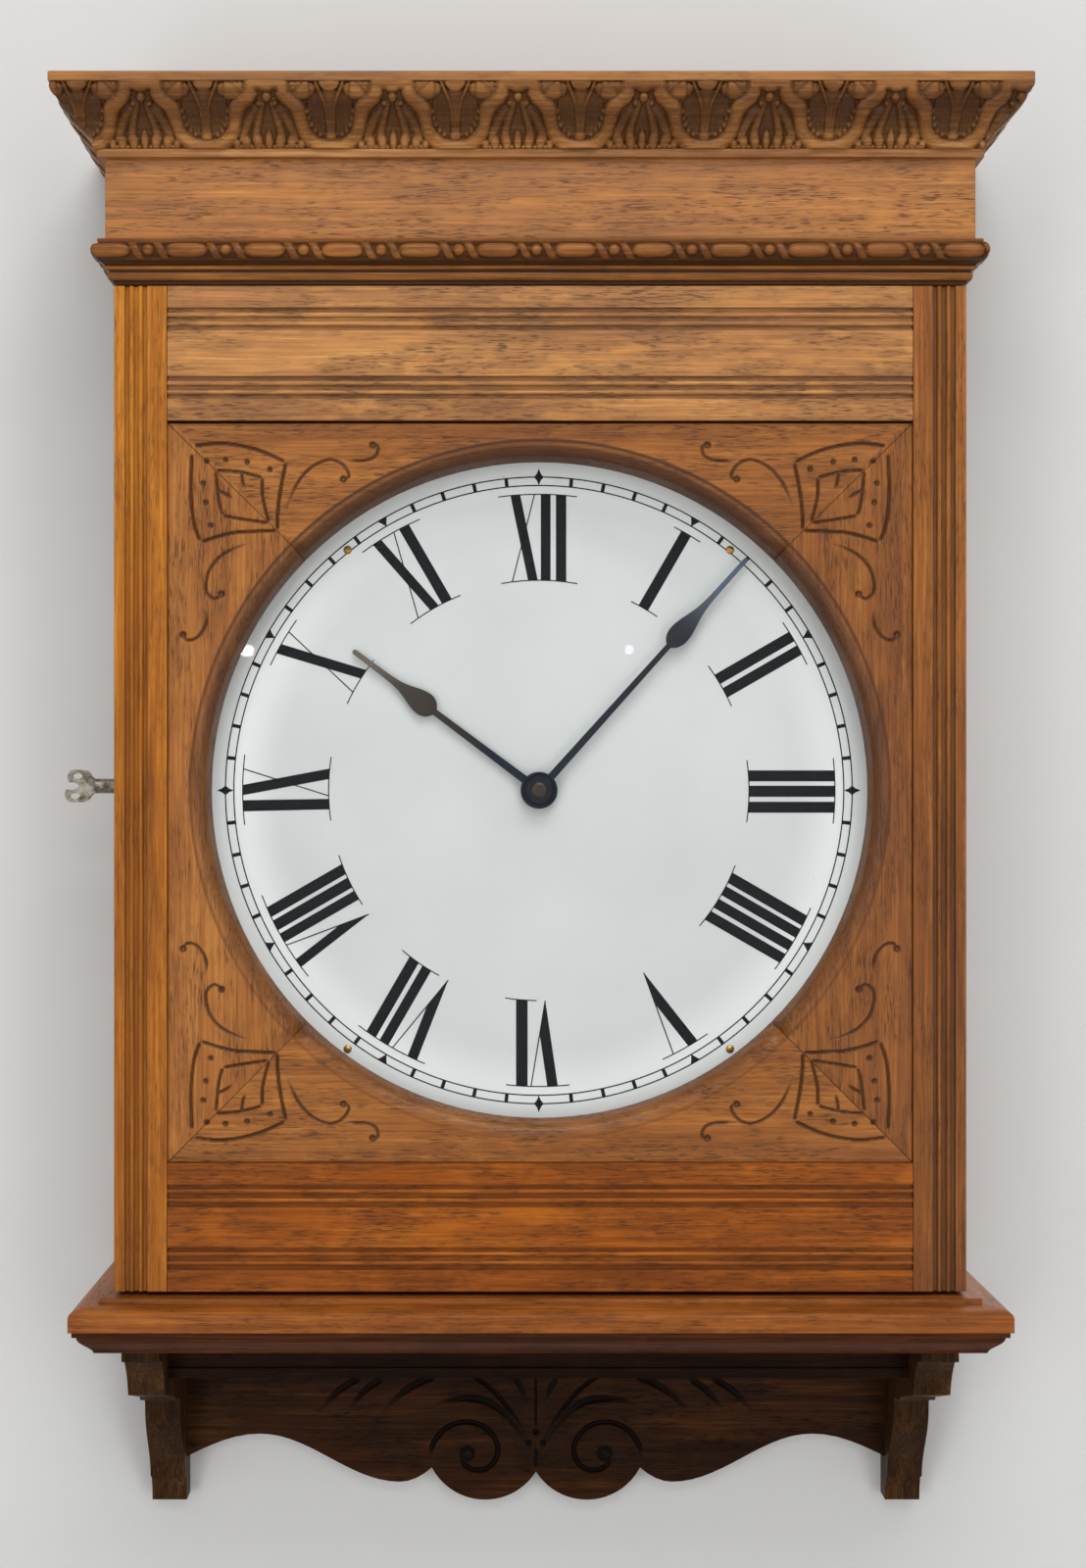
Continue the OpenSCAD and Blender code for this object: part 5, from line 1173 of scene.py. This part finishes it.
def on_the_apron(x, z):
    """Which points lie where the apron is carved."""
    return (np.abs(x) < APRON_X[1]) & (z > APRON_Z[0])


apron_tool = cutter("apron_tool", APRON_X, APRON_Z, APRON_Y, apron_strokes())
apron = carved_copy("apron", "gouged_apron", [apron_tool], APRON_Y, APRON_DEEPEST, on_the_apron)
dressed(apron, apron_oak, "case", "dark_oak", "apron")


# The print on the dial. u runs clockwise and v outwards, in pixels of the photograph from the
# middle of the dial, with the size of a pixel in mm and the arcs that the numerals stand between.
DIAL_PIXEL = 0.6975
OUTER, INNER = 302.0, 214.4
HAIRLINE = 1.25
SERIF = 1.15
PRINT_FRONT, PRINT_BACK = DIAL_Y - 0.12, DIAL_Y + 0.05


def printed(name, shapes):
    """A mesh of thin closed shapes. Each is an outline as seen from the front and how far it stands
    in front of the print, in mm."""
    work = bmesh.new()
    for outline, proud in shapes:
        front = [work.verts.new(Vector((x, PRINT_FRONT - proud, z)) * MM) for x, z in outline]
        back = [work.verts.new(Vector((x, PRINT_BACK, z)) * MM) for x, z in outline]
        work.faces.new(front)
        work.faces.new(back[::-1])
        for i in range(len(front)):
            j = (i + 1) % len(front)
            work.faces.new((front[j], front[i], back[i], back[j]))
    bmesh.ops.recalc_face_normals(work, faces=work.faces[:])
    mesh = bpy.data.meshes.new(name)
    work.to_mesh(mesh)
    work.free()
    return mesh


def at_hour(hour, outline):
    """An outline of u and v in mm, turned to the hour whose middle is straight out from the centre."""
    turn = math.radians(30 * hour)
    return [((u * math.cos(turn) + v * math.sin(turn)) * DIAL_PIXEL,
             (-u * math.sin(turn) + v * math.cos(turn)) * DIAL_PIXEL) for u, v in outline]


def on_circle(radius, angle):
    """A point at a radius, at an angle clockwise from straight up."""
    return (radius * math.sin(angle), radius * math.cos(angle))


def on_arc(u, radius):
    """Where the line at u meets an arc about the middle of the dial."""
    return (u, math.sqrt(radius ** 2 - u ** 2))


def stroke(top, foot):
    """A straight stroke from the outer arc to the inner one, each end given as two edges."""
    return [on_arc(top[0], OUTER), on_arc(top[1], OUTER), on_arc(foot[1], INNER), on_arc(foot[0], INNER)]


def hairline(top, foot):
    """A thin stroke, each end given as its middle."""
    half = HAIRLINE / 2
    return stroke((top - half, top + half), (foot - half, foot + half))


def vee(top, vertex, thin_top):
    """A V: its broad stroke, cut off where the hairline crosses it, and the hairline."""
    rise = OUTER - INNER
    left = (vertex - top[0]) / rise
    thin = (thin_top - vertex) / rise
    down = (thin_top - top[1]) / (left + thin)
    crossing = (top[1] + left * down, OUTER - down)
    return [[on_arc(top[0], OUTER), on_arc(top[1], OUTER), crossing, on_arc(vertex, INNER)],
            hairline(thin_top, vertex)]


def serif(radius, u0, u1):
    """A fine line along an arc, from u0 to u1, in eight steps."""
    a0, a1 = u0 / radius, u1 / radius
    angles = [a0 + (a1 - a0) * i / 8 for i in range(9)]
    return ([on_circle(radius + SERIF / 2, angle) for angle in angles]
            + [on_circle(radius - SERIF / 2, angle) for angle in reversed(angles)])


def serifs(outer, inner):
    """The serifs along both arcs."""
    return [serif(OUTER, *outer), serif(INNER, *inner)]


def bars(*pairs):
    """Upright strokes of an I, each given as its two edges."""
    return [stroke(pair, pair) for pair in pairs]


NUMERALS = {
    12: [stroke((-29, -19), (-11, -1)), hairline(-4.4, -27.0)] + bars((2, 12), (17.4, 28))
    + serifs((-41.6, 39), (-38.4, 39.6)),
    1: bars((-6.4, 4.8)) + serifs((-15, 16), (-15, 16)),
    2: bars((-12.6, -1.4), (3.4, 14.2)) + serifs((-24, 25.6), (-23.6, 24)),
    3: bars((-20.4, -9.2), (-4.8, 6.6), (11.6, 22.8)) + serifs((-33, 34), (-31, 32.6)),
    4: bars((-26.2, -14.6), (-11, -0.6), (3.8, 14.4), (18.6, 29.6)) + serifs((-35, 38), (-34, 38)),
    5: vee((-12.6, -1.6), 0.2, 15.6) + [serif(OUTER, -25, 28)],
    6: vee((-19.4, -8.6), -6.6, 8) + bars((11.4, 23.2)) + serifs((-31.4, 33.4), (2.2, 34.4)),
    7: vee((-30, -19.4), -16.8, -2) + bars((3, 13.4), (18, 29.4)) + serifs((-39, 39.6), (-6.4, 39.6)),
    8: vee((-34.8, -25.2), -22.8, -8) + bars((-4.6, 5.6), (9.4, 20.6), (24.4, 35.4))
    + serifs((-47, 48.6), (-11, 45)),
    9: [stroke((-21.4, -10), (-19.4, -8.6)), stroke((-5, 5.6), (11.6, 22.4)), hairline(22.0, -5.5)]
    + serifs((-35.4, 36.4), (-31, 34.4)),
    10: [stroke((-12.8, -2), (8, 18.4)), hairline(12.6, -8.0)] + serifs((-26.6, 27), (-21.4, 31)),
    11: [stroke((-21.4, -11.4), (-4, 6)), hairline(3.6, -18.6)] + bars((9.6, 20.8))
    + serifs((-34.4, 33), (-28.6, 30.6)),
}

# The minute track, in mm: its two fine rings, half their width, and in how many parts they are drawn
TRACK = (222.9, 216.9)
RING_HALF = 0.45
RING_PARTS = 240
# Hour marks on the track, in mm across and out from the middle
DIAMOND = ((0, 229.0), (1.5, 225.2), (3.5, 222.8), (1.5, 220.6), (0, 217.0), (-1.5, 220.6), (-3.5, 222.8),
           (-1.5, 225.2))
TRIANGLE = ((-4.1, 223.2), (4.1, 223.2), (2.1, 220.4), (0, 216.6), (-2.1, 220.4))


def numeral_shapes():
    """The numerals, the rings of the minute track, and the hour marks over them: diamonds at the
    quarters and hollow-sided triangles between."""
    shapes = [(at_hour(hour, part), 0) for hour, parts in NUMERALS.items() for part in parts]
    for radius in TRACK:
        for part in range(RING_PARTS):
            a0, a1 = (2 * math.pi * (part + i) / RING_PARTS for i in (0, 1))
            outer, inner = radius + RING_HALF, radius - RING_HALF
            shapes.append(([on_circle(outer, a0), on_circle(outer, a1), on_circle(inner, a1),
                            on_circle(inner, a0)], 0))
    for hour in range(12):
        mark = TRIANGLE if hour % 3 else DIAMOND
        shapes.append((at_hour(hour, [(x / DIAL_PIXEL, z / DIAL_PIXEL) for x, z in mark]), 0.01))
    return shapes


dressed(new_object("dial_numerals", printed("dial_numerals", numeral_shapes())), ink, "case", "dial_paint")


def ticks_tree():
    """Marks round a circle, with every fifth left out for the hour marks."""
    tree, given = new_group("Geometry", "minute_marks", {
        "Mark": "Geometry", "Radius": "Float", "Minutes": "Int", "Finish": "Material"}, {"Marks": "Geometry"})
    index = add(tree, "GeometryNodeInputIndex")
    turn = add(tree, "ShaderNodeMath", {0: index, 1: 2 * math.pi}, operation="MULTIPLY")
    turn = add(tree, "ShaderNodeMath", {0: turn, 1: given["Minutes"]}, operation="DIVIDE")
    across = add(tree, "ShaderNodeMath", {0: turn}, operation="SINE")
    up = add(tree, "ShaderNodeMath", {0: turn}, operation="COSINE")
    spot = add(tree, "ShaderNodeCombineXYZ", {0: across, 2: up})
    spot = add(tree, "ShaderNodeVectorMath", {0: spot, "Scale": given["Radius"]}, operation="SCALE")
    line = add(tree, "GeometryNodeMeshLine", {"Count": given["Minutes"]})
    circle = add(tree, "GeometryNodeSetPosition", {"Geometry": line, "Position": spot})
    lean = add(tree, "ShaderNodeCombineXYZ", {1: turn})
    fifth = add(tree, "ShaderNodeMath", {0: index, 1: 5.0}, operation="MODULO")
    chosen = add(tree, "ShaderNodeMath", {0: fifth, 1: 0.5}, operation="GREATER_THAN")
    placed = add(tree, "GeometryNodeInstanceOnPoints", {"Points": circle, "Selection": chosen,
                                                        "Instance": given["Mark"], "Rotation": lean})
    real = add(tree, "GeometryNodeRealizeInstances", {"Geometry": placed})
    marks = add(tree, "GeometryNodeSetMaterial", {"Geometry": real, "Material": given["Finish"]})
    add(tree, "NodeGroupOutput", {"Marks": marks})
    return tree


# One minute mark, half its width and half its height, and the circle that it stands on, in mm
MARK_WIDE, MARK_TALL = 1.3, 3.0
MARK_CIRCLE = 219.9
mark = [(-MARK_WIDE, MARK_TALL), (MARK_WIDE, MARK_TALL), (MARK_WIDE, -MARK_TALL), (-MARK_WIDE, -MARK_TALL)]
mark = new_object("minute_mark", printed("minute_mark", [(mark, 0.02)]))
marks = grown(mark, ticks_tree(), "minute_marks", Radius=MARK_CIRCLE * MM, Minutes=60, Finish=ink)
dressed(marks, ink, "case", "dial_paint")


# The minute hand's collar: its lip as radius and height before the hand, and how finely it is turned
LIP = ((11.0, 0.3), (11.2, -0.5), (11.9, -0.9), (12.7, -0.6), (13.1, 0.3))
LIP_STEPS = 64


def collar_lip():
    """The raised lip of the minute hand's collar, turned about the hands' axis."""
    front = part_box("minute_hand")[0][1] / MM
    points, faces = [], []
    for i in range(LIP_STEPS):
        turn = 2 * math.pi * i / LIP_STEPS
        points += [(r * math.cos(turn), front + y, r * math.sin(turn)) for r, y in LIP]
        here, ahead = i * len(LIP), (i + 1) % LIP_STEPS * len(LIP)
        for j in range(len(LIP)):
            k = (j + 1) % len(LIP)
            faces.append((here + j, here + k, ahead + k, ahead + j))
    return smooth(outwards(mesh_from("minute_collar_lip", points, faces)), 50)


dressed(new_object("minute_collar_lip", collar_lip()), minute_steel, "minute", "blued_steel")


# Stage: a pale painted wall and a pale floor, out of the way of views from behind

def wall_paint(name, colour):
    """Flat emulsion on a wall, seen only from its front."""
    material, tree, place = new_material(name)
    mottle = add(tree, "ShaderNodeTexNoise", {"Vector": place, "Scale": 2.5, "Detail": 5.0})
    tone = add(tree, "ShaderNodeMix", {0: mottle, 6: linear(colour), 7: linear("#dbdbda")}, data_type="RGBA")
    stipple = add(tree, "ShaderNodeTexNoise", {"Vector": place, "Scale": 160.0, "Detail": 3.0})
    bump = add(tree, "ShaderNodeBump", {"Height": stipple, "Strength": 0.06, "Distance": 0.001})
    shader = add(tree, "ShaderNodeBsdfPrincipled", {
        "Base Color": tone.outputs[2], "Roughness": 0.9, "Normal": bump, "Specular IOR Level": 0.1})
    facing = add(tree, "ShaderNodeNewGeometry").outputs["Backfacing"]
    shadow = add(tree, "ShaderNodeLightPath").outputs["Is Shadow Ray"]
    behind = add(tree, "ShaderNodeMath", {0: facing, 1: shadow}, operation="MAXIMUM")
    clear = add(tree, "ShaderNodeBsdfTransparent")
    return finished(material, add(tree, "ShaderNodeMixShader", {0: behind, 1: shader, 2: clear}))


def sheet(name, corners, material):
    """A flat piece of the stage, its corners in metres."""
    mesh = bpy.data.meshes.new(name)
    mesh.from_pydata(corners, [], [(0, 1, 2, 3)])
    mesh.materials.append(material)
    new_object(name, mesh)


# The wall stands just behind the case. It and the floor reach this far, in metres.
WALL_Y = 0.0012
SIDE = 4
FLOOR_Z, CEILING_Z = -0.9, 3.2
FLOOR_FRONT, FLOOR_BACK = -5, 3
sheet("wall", [(-SIDE, WALL_Y, FLOOR_Z), (SIDE, WALL_Y, FLOOR_Z), (SIDE, WALL_Y, CEILING_Z),
               (-SIDE, WALL_Y, CEILING_Z)], wall_paint("wall_emulsion_pale", "#d2d2d1"))
sheet("floor", [(-SIDE, FLOOR_FRONT, FLOOR_Z), (SIDE, FLOOR_FRONT, FLOOR_Z), (SIDE, FLOOR_BACK, FLOOR_Z),
                (-SIDE, FLOOR_BACK, FLOOR_Z)], wall_paint("floor_pale", "#d8d6d2"))


def photo_camera():
    """A camera at the photograph's place: straight on, its lens shifted to keep the frame."""
    camera = bpy.data.cameras.new("camera")
    camera.sensor_width = SENSOR
    camera.sensor_fit = "AUTO"
    camera.lens = LENS
    camera.shift_x = 0.0336
    camera.shift_y = 0.0169
    camera.clip_start = 0.05
    stand = bpy.data.objects.new("camera", camera)
    stand.location = [place * MM for place in CAMERA]
    stand.rotation_euler = (math.radians(90), 0, 0)
    bpy.context.scene.collection.objects.link(stand)
    bpy.context.scene.camera = stand


def lamp(name, place, target, size, power, colour="#ffffff"):
    """A soft oval lamp that looks at a point. Places and sizes are in metres, power in watts."""
    light = bpy.data.lights.new(name, "AREA")
    light.shape = "ELLIPSE"
    light.size, light.size_y = size
    light.energy = power
    light.color = linear(colour)[:3]
    made = bpy.data.objects.new(name, light)
    made.location = place
    made.rotation_euler = (Vector(target) - Vector(place)).to_track_quat("-Z", "Y").to_euler()
    bpy.context.scene.collection.objects.link(made)


def soft_room():
    """A dim white room by its light, and a pale one where it is seen, mirrored or seen through glass."""
    world = bpy.data.worlds.new("soft_room")
    bpy.context.scene.world = world
    world.use_nodes = True
    tree = world.node_tree
    tree.nodes.clear()
    path = add(tree, "ShaderNodeLightPath").outputs
    seen = add(tree, "ShaderNodeMath", {0: path["Is Camera Ray"], 1: path["Is Glossy Ray"]},
               operation="MAXIMUM")
    seen = add(tree, "ShaderNodeMath", {0: seen, 1: path["Is Transmission Ray"]}, operation="MAXIMUM")
    room = add(tree, "ShaderNodeBackground", {"Color": linear("#ffffff"), "Strength": 0.32})
    pale = add(tree, "ShaderNodeBackground", {"Color": linear("#dddcda"), "Strength": 1.0})
    mixed = add(tree, "ShaderNodeMixShader", {0: seen, 1: room, 2: pale})
    add(tree, "ShaderNodeOutputWorld", {"Surface": mixed})


photo_camera()
MIDDLE = (0.0, 0.0, 0.0)
GLASS = (0.0, -0.17, 0.0)
# Most light falls from above and in front, as from ceiling panels, with fills at both sides
lamp("ceiling_panel", (0.3, -2.4, 2.7), MIDDLE, (2.8, 1.4), 57.5)
lamp("front_panel", (0.0, -3.0, 1.4), MIDDLE, (2.4, 0.8), 12.5)
lamp("left_fill", (-1.25, -2.6, -0.3), MIDDLE, (0.8, 2.2), 15.0)
lamp("right_fill", (1.2, -2.6, -0.3), MIDDLE, (0.8, 2.2), 12.0)
# Two small spots that glint in the glass
lamp("left_spot", (-0.459, -2.6, 0.265), GLASS, (0.026, 0.022), 0.13)
lamp("right_spot", (0.208, -2.6, 0.266), GLASS, (0.016, 0.016), 0.016, "#eae6ff")
lamp("back_fill", (0.6, 2.4, 1.4), MIDDLE, (2.4, 2.4), 45.0)
soft_room()
bpy.context.scene.view_settings.view_transform = "Standard"
